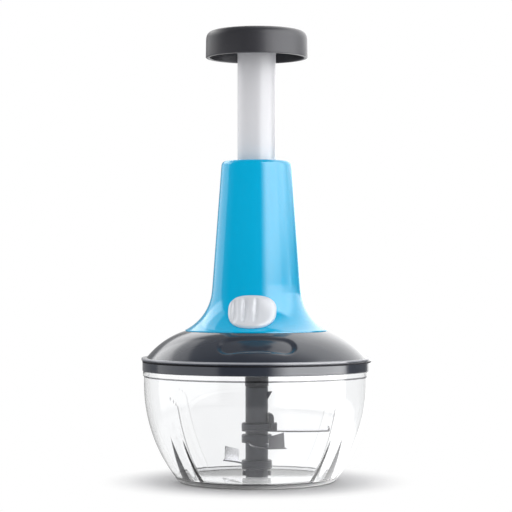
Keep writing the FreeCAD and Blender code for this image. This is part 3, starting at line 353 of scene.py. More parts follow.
def paintedLightLine():
    # painted shade where the line is dark, a painted highlight where it is pale: another colour in a narrow band
    # round the axis, between two heights and outside a radius
    tree, given = newGroup("paintedLightLine", {
        "Color": (0.5, 0.5, 0.5, 1), "Line": (1, 1, 1, 1), "Low": 0.0, "High": 0.001, "Radius": 0.0}, ["Color"])
    place = placeOf(tree)
    level = shader(tree, "SeparateXYZ", {"Vector": place}, "Z")
    flat = shader(tree, "VectorMath", {0: place, 1: (1, 1, 0)}, operation="MULTIPLY")
    away = shader(tree, "VectorMath", {0: flat}, "Value", operation="LENGTH")
    between = sums(tree, "MULTIPLY", sums(tree, "GREATER_THAN", level, given["Low"]),
                   sums(tree, "LESS_THAN", level, given["High"]))
    mask = sums(tree, "MULTIPLY", between, sums(tree, "GREATER_THAN", away, given["Radius"]))
    addNode(tree, "NodeGroupOutput", {"Color": mixed(tree, mask, given["Color"], given["Line"])})
    return tree


groups = {"moulded": mouldedFinish(), "steel": groundSteel(), "line": paintedLightLine()}


def skinned(name, group, values):
    # a material whose surface follows a shader group
    material = bpy.data.materials.new(name)
    material.use_nodes = True
    tree = material.node_tree
    surface = tree.nodes["Principled BSDF"]
    for output in addNode(tree, "ShaderNodeGroup", values, node_tree=groups[group]).outputs:
        tree.links.new(output, surface.inputs["Base Color" if output.name == "Color" else output.name])
    return material, surface


def marked(tree, label):
    # where the mesh is marked
    return shader(tree, "Attribute", output="Fac", attribute_name=label)


def plastic(name, color, roughness, grain, grainScale, marks=0.05, specular=0.5):
    material, surface = skinned(name, "moulded", {
        "Color": (*color, 1), "Roughness": roughness, "Grain": grain, "Grain Scale": grainScale, "Marks": marks})
    surface.inputs["Specular IOR Level"].default_value = specular
    return material


def clearPlastic(name, color, roughness, ior, grain, clear, line, low, high, radius, shaded=None):
    # line is the colour of a band of painted shade or painted highlight, shaded the colour of painted shade where
    # the mesh is marked as shaded
    material = plastic(name, color, roughness, grain, grainScale=300.0, marks=0.02)
    tree = material.node_tree
    surface = tree.nodes["Principled BSDF"]
    surface.inputs["Transmission Weight"].default_value = clear
    surface.inputs["IOR"].default_value = ior
    plain = surface.inputs["Base Color"].links[0].from_socket
    tone = shader(tree, "Group", {
        "Color": plain, "Line": (*line, 1), "Low": low * mm, "High": high * mm, "Radius": radius * mm,
    }, node_tree=groups["line"])
    if shaded:
        tone = mixed(tree, marked(tree, "shade"), tone, (*shaded, 1))
    tree.links.new(tone, surface.inputs["Base Color"])
    return material


def steel(name, color, roughness, lines, paintedReflection=None):
    # paintedReflection is the colour of a painted reflection on the faces marked for it
    material, surface = skinned(name, "steel", {"Roughness": roughness, "Lines": lines})
    tree = material.node_tree
    surface.inputs["Base Color"].default_value = (*color, 1)
    surface.inputs["Metallic"].default_value = 1.0
    if paintedReflection:
        tree.links.new(mixed(tree, marked(tree, "paintedReflection"), (*color, 1), (*paintedReflection, 1)), surface.inputs["Base Color"])
    return material


# colour, roughness, grain, grain scale, handling marks, specular level
plastics = {
    "towerBlue": ((0.001, 0.45, 0.76), 0.1, 0.02, 900.0, 0.03),
    "capGrey": ((0.037, 0.037, 0.043), 0.36, 0.25, 3200.0, 0.05, 0.32),
    "tubeGrey": ((0.72, 0.72, 0.745), 0.34, 0.12, 2600.0),
    "buttonWhite": ((0.7, 0.72, 0.76), 0.3, 0.1, 2600.0),
    "shaftGrey": ((0.055, 0.06, 0.075), 0.36, 0.2, 2600.0),
    "plateGrey": ((0.03, 0.032, 0.04), 0.4, 0.2, 2600.0),
    "natural": ((0.62, 0.62, 0.58), 0.42, 0.12, 2400.0),
    "seal": ((0.16, 0.165, 0.18), 0.5, 0.3, 1800.0),
    # a dark ring standing in for the shadow under the lid's rim: painted shadow
    "seamDark": ((0.006, 0.006, 0.009), 0.6, 0.1, 2500.0, 0.05, 0.1),
}
# colour, roughness, refraction, grain, clearness, the colour of a painted shade or highlight line and where it is,
# colour of the painted shade where marked
clearPlastics = {
    # ringGrey: a dark band painted as shade along the ring's top outer edge
    "ringGrey": ((0.97, 0.97, 0.98), 0.3, 1.42, 0.2, 0.9, (0.08, 0.08, 0.085), highOf("base_ring") - 0.7, 1000.0,
                 radiusOf("base_ring") - 0.8),
    # bowlClear: a dark band painted as shade along the bead, and near-black painted shade on the ribs' flanks
    "bowlClear": ((0.985, 0.99, 0.995), 0.02, 1.46, 0.02, 1.0, (0.08, 0.08, 0.09), 73.1, 74.2, 78.6,
                  (0.004, 0.004, 0.005)),
    # lidSmoke: a pale band painted as a highlight along the rim's top
    "lidSmoke": ((0.045, 0.052, 0.07), 0.14, 1.46, 0.02, 0.2, (0.45, 0.46, 0.5), 85.3, 86.6, 79.9),
}
# colour, roughness, grinding lines, colour of the painted reflection on the broad faces
steels = {
    # the blades' steel is dark as painted shade, and their broad faces are bright as a painted reflection
    "bladeSteel": ((0.09, 0.09, 0.1), 0.16, 0.2, (0.93, 0.93, 0.95)),
    "rodSteel": ((0.5, 0.5, 0.53), 0.22, 0.2),
    "screwSteel": ((0.55, 0.56, 0.6), 0.3, 0.3),
}
finishes = {}
for makeFinish, looks in ((plastic, plastics), (clearPlastic, clearPlastics), (steel, steels)):
    for name, look in looks.items():
        finishes[name] = makeFinish(name, *look)
print("finishes ready")


# geometry nodes: pieces that repeat, follow a path or take their shape from a rule

def newTree(name, measures, counts=()):
    tree = bpy.data.node_groups.new(name, "GeometryNodeTree")
    sockets = [("Geometry", "Geometry"), ("Material", "Material")]
    sockets += [(label, "Float") for label in measures] + [(label, "Int") for label in counts]
    for label, kind in sockets:
        tree.interface.new_socket(label, in_out="INPUT", socket_type="NodeSocket" + kind)
    tree.interface.new_socket("Geometry", in_out="OUTPUT", socket_type="NodeSocketGeometry")
    return tree, tree.nodes.new("NodeGroupInput").outputs


def endTree(tree, given, geometry):
    real = shape(tree, "RealizeInstances", {"Geometry": geometry})
    paint = shape(tree, "SetMaterial", {"Geometry": real, "Material": given["Material"]})
    addNode(tree, "NodeGroupOutput", {"Geometry": paint})
    return tree


def grown(name, kind, finish, lengths, others=None, piece=None, sharp=30):
    # runs a tree on a piece, with lengths in millimetres and other inputs, and keeps the mesh it gives
    if piece is None:
        piece = objectFrom(name, bmesh.new())
    change = piece.modifiers.new("grow", "NODES")
    change.node_group = trees[kind]
    values = {label: length * mm for label, length in lengths.items()}
    values.update(others or {}, Material=finishes[finish])
    for item in trees[kind].interface.items_tree:
        if item.in_out == "INPUT" and item.name in values:
            change[item.identifier] = values[item.name]
    return settle(piece, sharp)


def vector(tree, x=0.0, y=0.0, z=0.0):
    return shader(tree, "CombineXYZ", {"X": x, "Y": y, "Z": z})


def raised(tree, geometry, height):
    return shape(tree, "Transform", {"Geometry": geometry, "Translation": vector(tree, z=height)})


def swept(tree, path, profile):
    return shape(tree, "CurveToMesh", {"Curve": path, "Profile Curve": profile, "Fill Caps": True})


def together(tree, *parts):
    whole = tree.nodes.new("GeometryNodeJoinGeometry")
    for part in parts:
        tree.links.new(part, whole.inputs["Geometry"])
    return whole.outputs["Geometry"]


def evenTurn(tree, given, first=0.0):
    # the turn of each copy when they are evenly apart
    share = sums(tree, "DIVIDE", shape(tree, "InputIndex"), given["Count"])
    return sums(tree, "MULTIPLY_ADD", share, 2 * pi, first)


def coilTree():
    # a round wire along a right-handed helix
    tree, given = newTree("coil", ["Radius", "Wire", "Turns", "Low", "High"], ["Steps"])
    path = shape(tree, "CurveSpiral", {
        "Resolution": given["Steps"], "Rotations": given["Turns"], "Start Radius": given["Radius"],
        "End Radius": given["Radius"], "Reverse": True,
        "Height": sums(tree, "SUBTRACT", given["High"], given["Low"])})
    wire = shape(tree, "CurvePrimitiveCircle", {"Resolution": 10, "Radius": given["Wire"]})
    return endTree(tree, given, raised(tree, swept(tree, path, wire), given["Low"]))


def twistTree():
    # a flat bar with rounded edges, twisted right-handed about the axis, on a round journal
    tree, given = newTree("twist", ["Width", "Thickness", "Edge", "Lead", "Low", "High", "Journal Radius",
                                    "Journal Low"], ["Steps"])
    low, high = vector(tree, z=given["Low"]), vector(tree, z=given["High"])
    line = shape(tree, "CurvePrimitiveLine", {"Start": low, "End": high})
    steps = shape(tree, "ResampleCurve", {"Curve": line, "Count": given["Steps"]})
    level = shader(tree, "SeparateXYZ", {"Vector": shape(tree, "InputPosition")}, "Z")
    turns = sums(tree, "DIVIDE", sums(tree, "SUBTRACT", level, given["Low"]), given["Lead"])
    tilt = shape(tree, "SetCurveTilt", {"Curve": steps, "Tilt": sums(tree, "MULTIPLY", turns, 2 * pi)})
    flat = shape(tree, "CurvePrimitiveQuadrilateral", {"Width": given["Width"], "Height": given["Thickness"]})
    rounded = shape(tree, "FilletCurve", {"Curve": flat, "Radius": given["Edge"], "Count": 3}, mode="POLY")
    lap = 1 * mm
    depth = sums(tree, "ADD", sums(tree, "SUBTRACT", given["Low"], given["Journal Low"]), lap)
    journal = shape(tree, "MeshCylinder", {"Vertices": 64, "Radius": given["Journal Radius"], "Depth": depth})
    middle = sums(tree, "ADD", given["Journal Low"], sums(tree, "MULTIPLY", depth, 0.5))
    return endTree(tree, given, together(tree, swept(tree, tilt, rounded), raised(tree, journal, middle)))


# shares of the head's radius and height and of the shank's radius, and the thread's pitch
screwForm = Sizes(top=0.78, slotLength=0.95, slotWidth=0.2, slotDepth=0.9, root=0.88,
                   ridge=0.12, end=0.26, pitch=0.8 * mm)


def screwTree():
    # pan screws with a crossed recess and a threaded shank, evenly round a circle; Way is 1 up or -1 down
    tree, given = newTree("screws", ["Circle", "First", "Level", "Way", "Head Radius", "Head Height", "Shank",
                                     "Length"], ["Count"])
    radius, height = given["Head Radius"], given["Head Height"]
    length, shank = given["Length"], given["Shank"]

    def part(value, share):
        return sums(tree, "MULTIPLY", value, share)

    below = part(height, -1.0)
    head = shape(tree, "MeshCone", {"Vertices": 32, "Side Segments": 2, "Depth": height, "Radius Top": radius,
                                    "Radius Bottom": part(radius, screwForm.top)})
    cut = addNode(tree, "GeometryNodeMeshBoolean", {"Mesh 1": raised(tree, head, below)}, operation="DIFFERENCE")
    wide, narrow = part(radius, screwForm.slotLength), part(radius, screwForm.slotWidth)
    for x, y, deep in ((wide, narrow, 1.0), (narrow, wide, screwForm.slotDepth)):
        bar = shape(tree, "MeshCube", {"Size": vector(tree, x, y, part(height, deep))})
        tree.links.new(raised(tree, bar, below), cut.inputs["Mesh 2"])
    root, end = part(shank, screwForm.root), part(shank, screwForm.end)
    core = shape(tree, "MeshCylinder", {"Vertices": 24, "Radius": root, "Depth": length})
    helix = shape(tree, "CurveSpiral", {
        "Resolution": 20, "Rotations": sums(tree, "DIVIDE", length, screwForm.pitch), "Start Radius": root,
        "End Radius": root, "Height": sums(tree, "SUBTRACT", length, end), "Reverse": True})
    ridge = shape(tree, "CurvePrimitiveCircle", {"Resolution": 4, "Radius": part(shank, screwForm.ridge)})
    whole = together(tree, cut.outputs["Mesh"], raised(tree, core, part(length, 0.5)),
                     raised(tree, swept(tree, helix, ridge), part(end, 0.5)))
    flip = vector(tree, part(sums(tree, "SUBTRACT", 1.0, given["Way"]), pi / 2))
    faced = shape(tree, "Transform", {"Geometry": whole, "Rotation": flip})
    turn = evenTurn(tree, given, given["First"])
    spot = vector(tree, sums(tree, "MULTIPLY", sums(tree, "COSINE", turn), given["Circle"]),
                  sums(tree, "MULTIPLY", sums(tree, "SINE", turn), given["Circle"]), given["Level"])
    points = shape(tree, "Points", {"Count": given["Count"], "Position": spot})
    return endTree(tree, given, shape(tree, "InstanceOnPoints", {"Points": points, "Instance": faced}))


def turnedTree():
    # copies of the piece at even angles about the upright axis
    tree, given = newTree("turned", [], ["Count"])
    points = shape(tree, "Points", {"Count": given["Count"]})
    return endTree(tree, given, shape(tree, "InstanceOnPoints", {
        "Points": points, "Instance": given["Geometry"], "Rotation": vector(tree, z=evenTurn(tree, given))}))


def flareTree():
    # spreads a straight shell out along a leaning wall that flares in an arc towards its foot
    tree, given = newTree("flare", ["Straight Radius", "Waist Radius", "Waist Level", "Lean", "Flare Radius",
                                    "Flare Level"])
    position = shape(tree, "InputPosition")
    level = shader(tree, "SeparateXYZ", {"Vector": position}, "Z")
    waist, flare = given["Waist Radius"], given["Flare Radius"]
    above = sums(tree, "SUBTRACT", level, given["Waist Level"])
    wall = sums(tree, "SUBTRACT", waist, sums(tree, "MULTIPLY", above, given["Lean"]))
    drop = sums(tree, "SUBTRACT", given["Flare Level"], level)
    squares = sums(tree, "SUBTRACT", sums(tree, "POWER", flare, 2.0), sums(tree, "MULTIPLY", drop, drop))
    arc = sums(tree, "SUBTRACT", sums(tree, "ADD", waist, flare),
               sums(tree, "SQRT", sums(tree, "MAXIMUM", squares, 0.0)))
    inFlare = sums(tree, "LESS_THAN", level, given["Waist Level"])
    outline = shader(tree, "Mix", {"Factor": inFlare, "A": wall, "B": arc}, data_type="FLOAT")
    flat = shader(tree, "VectorMath", {0: position, 1: (1, 1, 0)}, operation="MULTIPLY")
    outward = shader(tree, "VectorMath", {0: flat}, operation="NORMALIZE")
    spread = sums(tree, "SUBTRACT", outline, given["Straight Radius"])
    shift = shader(tree, "VectorMath", {0: outward, "Scale": spread}, operation="SCALE")
    return endTree(tree, given, shape(tree, "SetPosition", {"Geometry": given["Geometry"], "Offset": shift}))


trees = {"coil": coilTree(), "twist": twistTree(), "screws": screwTree(), "turned": turnedTree(),
         "flare": flareTree()}
print("node trees ready")


# posts for screws from below

postSize = Sizes(bore=1.5, radius=3.6, edge=0.3, around=32, count=4)


def makePosts(circle, low, high, boreTop, finish):
    # bored posts at the corners
    size = postSize
    path = eased([
        (size.bore, low), (size.radius, low, size.edge), (size.radius, high, size.edge),
        (0, high), (0, boreTop), (size.bore, boreTop),
    ])
    post = lathe("posts", path, evenTurns(size.around))
    post.data.transform(Matrix.Rotation(pi / 4, 4, "Z") @ Matrix.Translation((circle * mm, 0, 0)))
    return grown("posts", "turned", finish, {}, {"Count": size.count}, post)


# bowl

bowlSize = Sizes(
    bead=0.7, bulge=107.0, bulgeLevel=68.0, wall=2.6, beadLevel=73.9, beadHeight=3.4,
    neckWall=1.5, floor=2.8, floorTurn=8.0, under=1.0, pin=3.0, pad=8.0, padLevel=0.4,
    rebate=2.1, ringInset=5.3, ringLap=1.6, footGap=0.8, floorGap=5.5, outerRows=36,
    innerRows=44,
    ribWidth=10.0, ribTop=60.0, ribEnd=61.0, ribDepth=1.2, ribThinning=0.6, ribFade=30.0,
    ribMiddle=48.0, ribLean=4.0, ribInner=34.0, innerFade=16.0,
    # painted shade beside the ribs: across in half widths of a rib
    markLow=0.5, line=1.06, lineWidth=0.14, hook=7.0, backTone=0.4,
    wedge=1.2, wedgeBend=0.001, wedgeTop=36.0, wedgeSoft=0.08,
    # columns of the mesh: first and last degree, and how many
    columns=[(-24, 32, 46), (32, 52, 80), (52, 128, 62), (128, 148, 80), (148, 204, 46), (204, 232, 140),
                (232, 308, 62), (308, 336, 140)],
)
bowlSize["mouth"] = radiusOf("bowl") - bowlSize.bead
bowlSize["top"] = highOf("bowl")
bowlSize["ringTop"] = highOf("base_ring")


def wallRadius(level, depth=0.0):
    size = bowlSize
    return size.mouth - size.bulge + sqrt((size.bulge - depth) ** 2 - (size.bulgeLevel - level) ** 2)


def ribDepthAt(level):
    size = bowlSize
    height = clamped((level - size.floor) / (size.ribTop - size.floor))
    fade = clamped((size.ribEnd - level) / size.ribFade)
    return size.ribDepth * (1 - size.ribThinning * height) * softStep(fade)


def fromRib(turn):
    # how far a point is from the nearest rib's middle, in half widths of a rib, measured where the ribs begin
    toFront = abs(degrees(atan2(cos(turn), -sin(turn))))
    return (min(toFront, 180 - toFront) - bowlSize.ribMiddle) / (bowlSize.ribWidth / 2)


def leaned(turn, level):
    # carries a point sideways with the lean of the ribs, keeping front, back and sides in place
    shift = radians(bowlSize.ribLean) * clamped(1 - level / bowlSize.ribTop)
    across = abs(cos(turn)) ** 2 * abs(sin(turn)) ** 2 * 4
    return turn - shift * across * (1 if cos(turn) * sin(turn) < 0 else -1)


def makeBowl():
    size = bowlSize
    foot, neck = wallRadius(size.ringTop), size.mouth - size.wall
    lip, top = neck + size.neckWall, size.top
    bead, beadTop = size.mouth + size.bead, size.beadLevel + size.beadHeight
    outside = profile(wallRadius, size.ringTop + size.footGap, size.bulgeLevel, size.outerRows)
    inside = profile(wallRadius, size.bulgeLevel, size.floor + size.floorGap, size.innerRows, size.wall)
    path = eased([
        (size.pin, size.padLevel), (size.pad, size.padLevel), (size.pad, size.under),
        (foot - size.ringInset + size.ringLap, size.under), (foot - size.rebate, size.ringTop),
        (foot, size.ringTop, 0.4), *outside, (size.mouth, size.beadLevel, 0.15),
        (bead, size.beadLevel, 0.2), (bead, beadTop, 0.25), (lip, beadTop, 0.3), (lip, top, 0.5),
        (neck, top, 0.5), *inside, (wallRadius(size.floor, size.wall), size.floor, size.floorTurn),
        (size.pin, size.floor),
    ])
    firstInside = path.index(inside[0])

    def ribs(radius, level, turn, index):
        if index < firstInside or level > size.ribEnd:
            return 0, 0
        edge = clamped(1 - abs(fromRib(turn)))
        inner = clamped((radius - size.ribInner) / size.innerFade)
        return ribDepthAt(level) * sin(edge * pi / 2) ** 2 * inner, 0

    def marks(level, turn, index):
        # painted shade for the dark lines of the ribs' flanks in the wall: a thin one, and in front a wedge that
        # widens downwards
        if index >= firstInside or not size.ringTop + size.markLow < level < size.ribEnd:
            return 0
        away = fromRib(turn)
        hook = max(level - size.ribEnd + size.hook, 0) / size.hook
        line = max(1 - abs(away + size.line - hook * hook) / size.lineWidth, 0)
        if sin(turn) >= 0:
            return line * size.backTone
        half = 1 - level / size.wedgeTop
        middle = size.wedge + size.wedgeBend * (size.wedgeTop - level) ** 2
        return max(line, clamped((half - abs(away - middle)) / size.wedgeSoft))

    turns = [turn for start, end, count in size.columns for turn in levels(start, end, count)[1:]]
    piece = lathe("bowlShell", path, turns, sink=ribs, sharp=50, lean=leaned, shade=marks)
    finishPiece(piece, "bowl", "clear_plastic", "bowlClear", "bowl")


ringSize = Sizes(inside=6.0, side=6.36)


def makeBaseRing():
    foot, high, under = wallRadius(bowlSize.ringTop), bowlSize.ringTop, bowlSize.under
    stand = foot - bowlSize.ringInset
    inside = stand - ringSize.inside
    path = eased([
        (inside, 0.0, 0.4), *bulge((stand, 0.0), (foot, high), ringSize.side, 8),
        (foot - bowlSize.rebate, high), (stand + bowlSize.ringLap, under), (inside, under, 0.3),
    ])
    finishPiece(lathe("baseRing", path, columns), "bowl", "grey_rubber", "ringGrey", "base_ring")


makeBowl()
makeBaseRing()
print("bowl ready")


# lid

lidSize = Sizes(
    skirtWall=1.9, rimDepth=0.7, rim=84.5, rimHeight=2.0, bead=77.3, ceiling=83.4,
    plug=73.4, plugWall=1.8, plugLow=77.5, grooveLow=78.5, grooveHigh=81.5, groove=0.8,
    domeInset=3.0, dome=56.0, domeTop=105.0, seat=103.3, bore=23.0, wall=2.4, footGap=0.2,
    crestInset=3.6, edgeRise=1.2, outerRows=56, innerRows=44, sector=56.0, fineColumns=150,
    otherColumns=140, postCircle=65.84, postLow=79.9, boreTop=87.9,
    recessRadius=63.55, recessLevel=98.1, recessLength=52.0, recessWidth=17.0, recessDepth=1.4,
    recessSlope=32.4, recessEdge=4.8, recessGrow=-0.5, innerShift=1.3, innerDrop=2.0,
)
lidSize["skirt"] = radiusOf("lid") - lidSize.rimDepth
lidSize["foot"] = radiusOf("tower") + lidSize.footGap


def recessDip(radius, level, turn, grow):
    # how far the stadium recess sinks a point of the dome, in and down
    size = lidSize
    across, front = radius * cos(turn), -radius * sin(turn)
    slope = radians(size.recessSlope)
    up = (level - size.recessLevel) * sin(slope) - (front - size.recessRadius) * cos(slope)
    half = size.recessWidth / 2
    beyond = max(abs(across) - (size.recessLength / 2 - half), 0)
    outside = hypot(beyond, up) - half - grow
    depth = size.recessDepth * softStep(clamped(0.5 - outside / size.recessEdge))
    return depth * sin(slope), depth * cos(slope)


def makeLid():
    size = lidSize
    plug, inPlug, groove = size.plug, size.plug - size.plugWall, size.plug - size.groove
    skirt, inSkirt, rim = size.skirt, size.skirt - size.skirtWall, size.skirt + size.rimDepth
    rimTop, under = size.rim + size.rimHeight, size.seat - size.wall
    edge, crest = (skirt - size.domeInset, rimTop), (size.foot, size.domeTop)
    outer = bulge(edge, crest, size.dome, size.outerRows)[1:-1]
    inner = bulge((size.foot - size.crestInset, under), (inPlug, rimTop + size.edgeRise),
                  size.wall - size.dome, size.innerRows)
    path = eased([
        (inPlug, size.plugLow, 0.3), (plug, size.plugLow, 0.4), (plug, size.grooveLow),
        (groove, size.grooveLow), (groove, size.grooveHigh), (plug, size.grooveHigh),
        (plug, size.ceiling, 0.4), (inSkirt, size.ceiling, 0.4), (inSkirt, size.bead, 0.3),
        (skirt, size.bead, 0.5), (skirt, size.rim, 0.4), (rim, size.rim, 0.3), (rim, rimTop, 0.6),
        edge, *outer, (*crest, 0.3), (size.foot, size.seat), (size.bore, size.seat, 0.3),
        (size.bore, under, 0.3), *inner,
    ])
    outerFirst, outerLast, innerFirst = path.index(outer[0]), path.index(outer[-1]), path.index(inner[0])

    def dip(radius, level, turn, index):
        if sin(turn) < 0 and outerFirst <= index <= outerLast:
            return recessDip(radius, level, turn, size.recessGrow)
        if sin(turn) < 0 and index >= innerFirst:
            return recessDip(radius + size.innerShift, level + size.innerDrop, turn, size.wall)
        return 0, 0

    start = 270 - size.sector / 2
    end = start + size.sector
    turns = levels(start, end, size.fineColumns) + levels(end, start + 360, size.otherColumns)[1:-1]
    shell = lathe("lidShell", path, turns, sink=dip, sharp=50)
    posts = makePosts(size.postCircle, size.postLow, rimTop + 2 * size.wall, size.boreTop, "lidSmoke")
    finishPiece(joined("lidShell", [shell, posts]), "head", "smoky_plastic", "lidSmoke", "lid")


rimShadowSize = Sizes(height=1.1, drop=0.7, inside=0.4, outside=0.06)


def makeRimShadow():
    # a dark ring set under the rim as a painted shadow line
    inner, outer = lidSize.skirt - rimShadowSize.inside, lidSize.skirt + rimShadowSize.outside
    low = lidSize.rim - rimShadowSize.drop - rimShadowSize.height / 2
    high = low + rimShadowSize.height
    piece = lathe("rimShadow", [(inner, low), (outer, low), (outer, high), (inner, high)], columns)
    finishPiece(piece, "head", "smoky_plastic", "seamDark")


makeLid()
makeRimShadow()
print("lid ready")


# tower

towerSize = Sizes(
    footBand=5.5, flare=33.0, waist=31.3, waistLevel=133.0, topRadius=24.5, edge=4.0,
    wall=2.4, hole=14.2, straight=60.0, flareRows=40, wallRows=30, wallEnd=8.0,
    hollowRows=24, hollowEase=1.0, postCircle=36.0, postHeight=9.2, boreHeight=8.0,
    slotTurn=5.3, slotStretch=1.15, slotSide=2.8, slotPlay=0.6, slotNear=20.0, slotFar=60.0,
)
towerSize["foot"] = radiusOf("tower")
towerSize["seat"] = lowOf("tower")
towerSize["top"] = highOf("tower")
towerSize["lean"] = (towerSize.waist - towerSize.topRadius) / (towerSize.top - towerSize.waistLevel)
towerSize["flareLevel"] = towerSize.waistLevel + towerSize.flare * towerSize.lean


def flareRadius(level, wall=0.0):
    size = towerSize
    across = sqrt((size.flare + wall) ** 2 - (size.flareLevel - level) ** 2)
    return size.waist + size.flare - across


def flareLevelAt(radius, wall=0.0):
    size = towerSize
    drop = sqrt((size.flare + wall) ** 2 - (size.waist + size.flare - radius) ** 2)
    return size.flareLevel - drop


def outlineRadius(level):
    size = towerSize
    if level < size.waistLevel:
        return flareRadius(level)
    return size.waist - size.lean * (level - size.waistLevel)


def slotTool():
    # what the bolt's slot is cut with
    size = towerSize
    half = size.waist * sin(radians(size.slotTurn)) * size.slotStretch + size.slotSide
    low, high = lowOf("lock_bolt") - size.slotPlay, highOf("lock_bolt") + size.slotPlay
    return prism("slotTool", [(-half, low), (half, low), (half, high), (-half, high)],
                 size.slotNear, size.slotFar, Matrix.Rotation(pi / 2, 4, "X"))


def makeTower():
    size = towerSize
    seat, top, roof = size.seat, size.top, size.top - size.wall
    innerFoot = size.foot - size.footBand
    lowest, innerLowest = flareLevelAt(size.foot), flareLevelAt(innerFoot, size.wall)
    foot = profile(flareRadius, lowest, size.waistLevel, size.flareRows)
    wall = profile(outlineRadius, size.waistLevel, top - size.wallEnd, size.wallRows)
    hollow = profile(flareRadius, size.waistLevel, innerLowest, size.hollowRows, size.wall)
    path = eased([
        (innerFoot, seat, 0.3), (size.foot, seat, 0.3), (size.foot, lowest, 0.4), *foot[1:], *wall[1:],
        (size.topRadius, top, size.edge), (size.hole, top, 0.8), (size.hole, roof, 0.3),
        (size.topRadius - size.wall, roof, 2.0), (size.waist - size.wall, size.waistLevel + size.hollowEase),
        *hollow,
    ], steps=8)
    straight = [(radius - outlineRadius(level) + size.straight, level) for radius, level in path]
    shell = lathe("towerShell", straight, columns, sharp=40)
    grown("towerShell", "flare", "towerBlue", {
        "Straight Radius": size.straight, "Waist Radius": size.waist, "Waist Level": size.waistLevel,
        "Flare Radius": size.flare, "Flare Level": size.flareLevel}, {"Lean": size.lean}, shell, 40)
    carve(shell, slotTool())
    posts = makePosts(size.postCircle, seat, seat + size.postHeight, seat + size.boreHeight, "towerBlue")
    finishPiece(joined("towerShell", [shell, posts]), "head", "blue_plastic", "towerBlue", "tower")


# the button on the tower's front

buttonSize = Sizes(
    length=33.0, height=22.0, square=2.6, thick=3.4, rim=0.35, dome=6, gap=0.4,
    level=119.0, turn=-5.3, grooves=[(-12.0, 1.9, 2.3), (-4.6, 1.8, 2.5), (2.9, 1.2, 1.4)],
    grooveReach=9.2, grooveEnd=4, rings=34, around=144,
)


def buttonRim(turn):
    # how far the outline, an oval with full corners, is from its middle
    size = buttonSize
    across, up = abs(cos(turn)) / (size.length / 2), abs(sin(turn)) / (size.height / 2)
    return (across ** size.square + up ** size.square) ** (-1 / size.square)


def buttonHeight(across, up):
    # how far the button's face stands off its back: domed, with upright finger grooves
    size = buttonSize
    away = min(hypot(across, up) / buttonRim(atan2(up, across)), 1)
    run = max(0, 1 - (abs(up) / size.grooveReach) ** size.grooveEnd)
    dent = sum(depth * exp(-((across - middle) / width) ** 2) for middle, width, depth in size.grooves)
    dome = size.rim + (1 - size.rim) * sqrt(1 - away ** size.dome)
    return size.thick * dome - dent * run


def makeButton():
    size = buttonSize
    bm = bmesh.new()
    spin = Matrix.Rotation(radians(size.turn), 4, "Z")

    def place(across, up, raised):
        out = buttonHeight(across, up) if raised else 0
        level = size.level + up
        lean = asin(clamped((towerSize.flareLevel - level) / towerSize.flare))
        reach = flareRadius(level) + size.gap + out * cos(lean)
        point = Vector((across, -sqrt(reach * reach - across * across), level + out * sin(lean)))
        return bm.verts.new(spin @ (point * mm))

    def face(raised):
        # one side of the button; gives its outermost ring
        inner = [place(0, 0, raised)] * size.around
        for ring in levels(0, 1, size.rings)[1:]:
            outer = []
            for turn in levels(0, 2 * pi, size.around)[:-1]:
                reach = sin(pi / 2 * ring) * buttonRim(turn)
                outer.append(place(reach * cos(turn), reach * sin(turn), raised))
            bridge(bm, inner, outer)
            inner = outer
        return inner

    bridge(bm, face(False), face(True))
    finishPiece(objectFrom("fingerPad", bm, 50), "lock", "white_plastic", "buttonWhite", "lock_button")


makeTower()
makeButton()
print("tower ready")


# plunger: cap and tube

tubeSize = Sizes(radius=13.4, wall=2.0, bore=1.5)
tubeSize["low"], tubeSize["top"] = lowOf("plunger_tube"), highOf("plunger_tube")

capSize = Sizes(
    flare=0.3, edge=6.325, flatTop=12.0, wall=2.4, socketDepth=12.3, boss=3.6, bore=1.5,
    socketTop=306.0, boreTop=312.0, ribs=6, ribThickness=1.68, ribDepth=3.6, ribEdge=0.25,
    ribSlope=1.0, ribSide=2.5, ribCorner=2.4, ribRoot=0.6, ribInside=0.5, ribOutside=0.8,
)
capSize["radius"] = radiusOf("press_cap") - capSize.flare
capSize["low"], capSize["top"] = lowOf("press_cap"), highOf("press_cap")


def makeCap():
    size = capSize
    tube, top, roof = tubeSize.radius, size.top, size.top - size.wall
    inner, socket = size.radius - size.wall, tube + size.wall
    socketLow = roof - size.socketDepth
    path = eased([
        (0, top), (0, size.boreTop), (size.bore, size.boreTop), (size.bore, size.socketTop),
        (size.boss, size.socketTop, 0.3), (size.boss, roof), (tube, roof), (tube, socketLow, 0.3),
        (socket, socketLow, 0.5), (socket, roof, 0.6), (inner, roof, 3.4), (inner, size.low, 0.7),
        (size.radius + size.flare, size.low, 0.9), (size.radius, top, size.edge), (size.flatTop, top),
    ], steps=9)
    shell = lathe("capShell", path, evenTurns(160), sharp=45)
    start, end, half = socket - size.ribInside, inner + size.ribOutside, size.ribThickness / 2
    low, high = roof - size.ribDepth, roof + size.ribRoot
    web = prism("webs", [(start, low), (end, low - size.ribSlope), (end, roof - size.ribSide),
                         (inner - size.ribCorner, high), (start, high)],
                -half, half, Matrix.Rotation(pi / 2, 4, "X"))
    bevelled(web, size.ribEdge, 2)
    grown("webs", "turned", "capGrey", {}, {"Count": size.ribs}, web)
    finishPiece(joined("pressCap", [shell, web]), "plunger", "cap_plastic", "capGrey", "press_cap")


def makeTube():
    size = tubeSize
    inner, roof = size.radius - size.wall, size.top - size.wall
    path = eased([
        (inner, size.low, 0.3), (size.radius, size.low, 0.3), (size.radius, size.top, 0.3),
        (size.bore, size.top), (size.bore, roof), (inner, roof, 1.0),
    ])
    piece = lathe("plungerTube", path, evenTurns(128), sharp=40)
    finishPiece(piece, "plunger", "tube_plastic", "tubeGrey", "plunger_tube")


makeCap()
makeTube()
print("plunger ready")


# blades; wing is the share of the painted reflection's colour on the broad faces of an upright wing

bladeSize = Sizes(broadArea=50.0, flat=0.5, wing={"upper": 1.0, "middle": 0.04, "lower": 1.0})


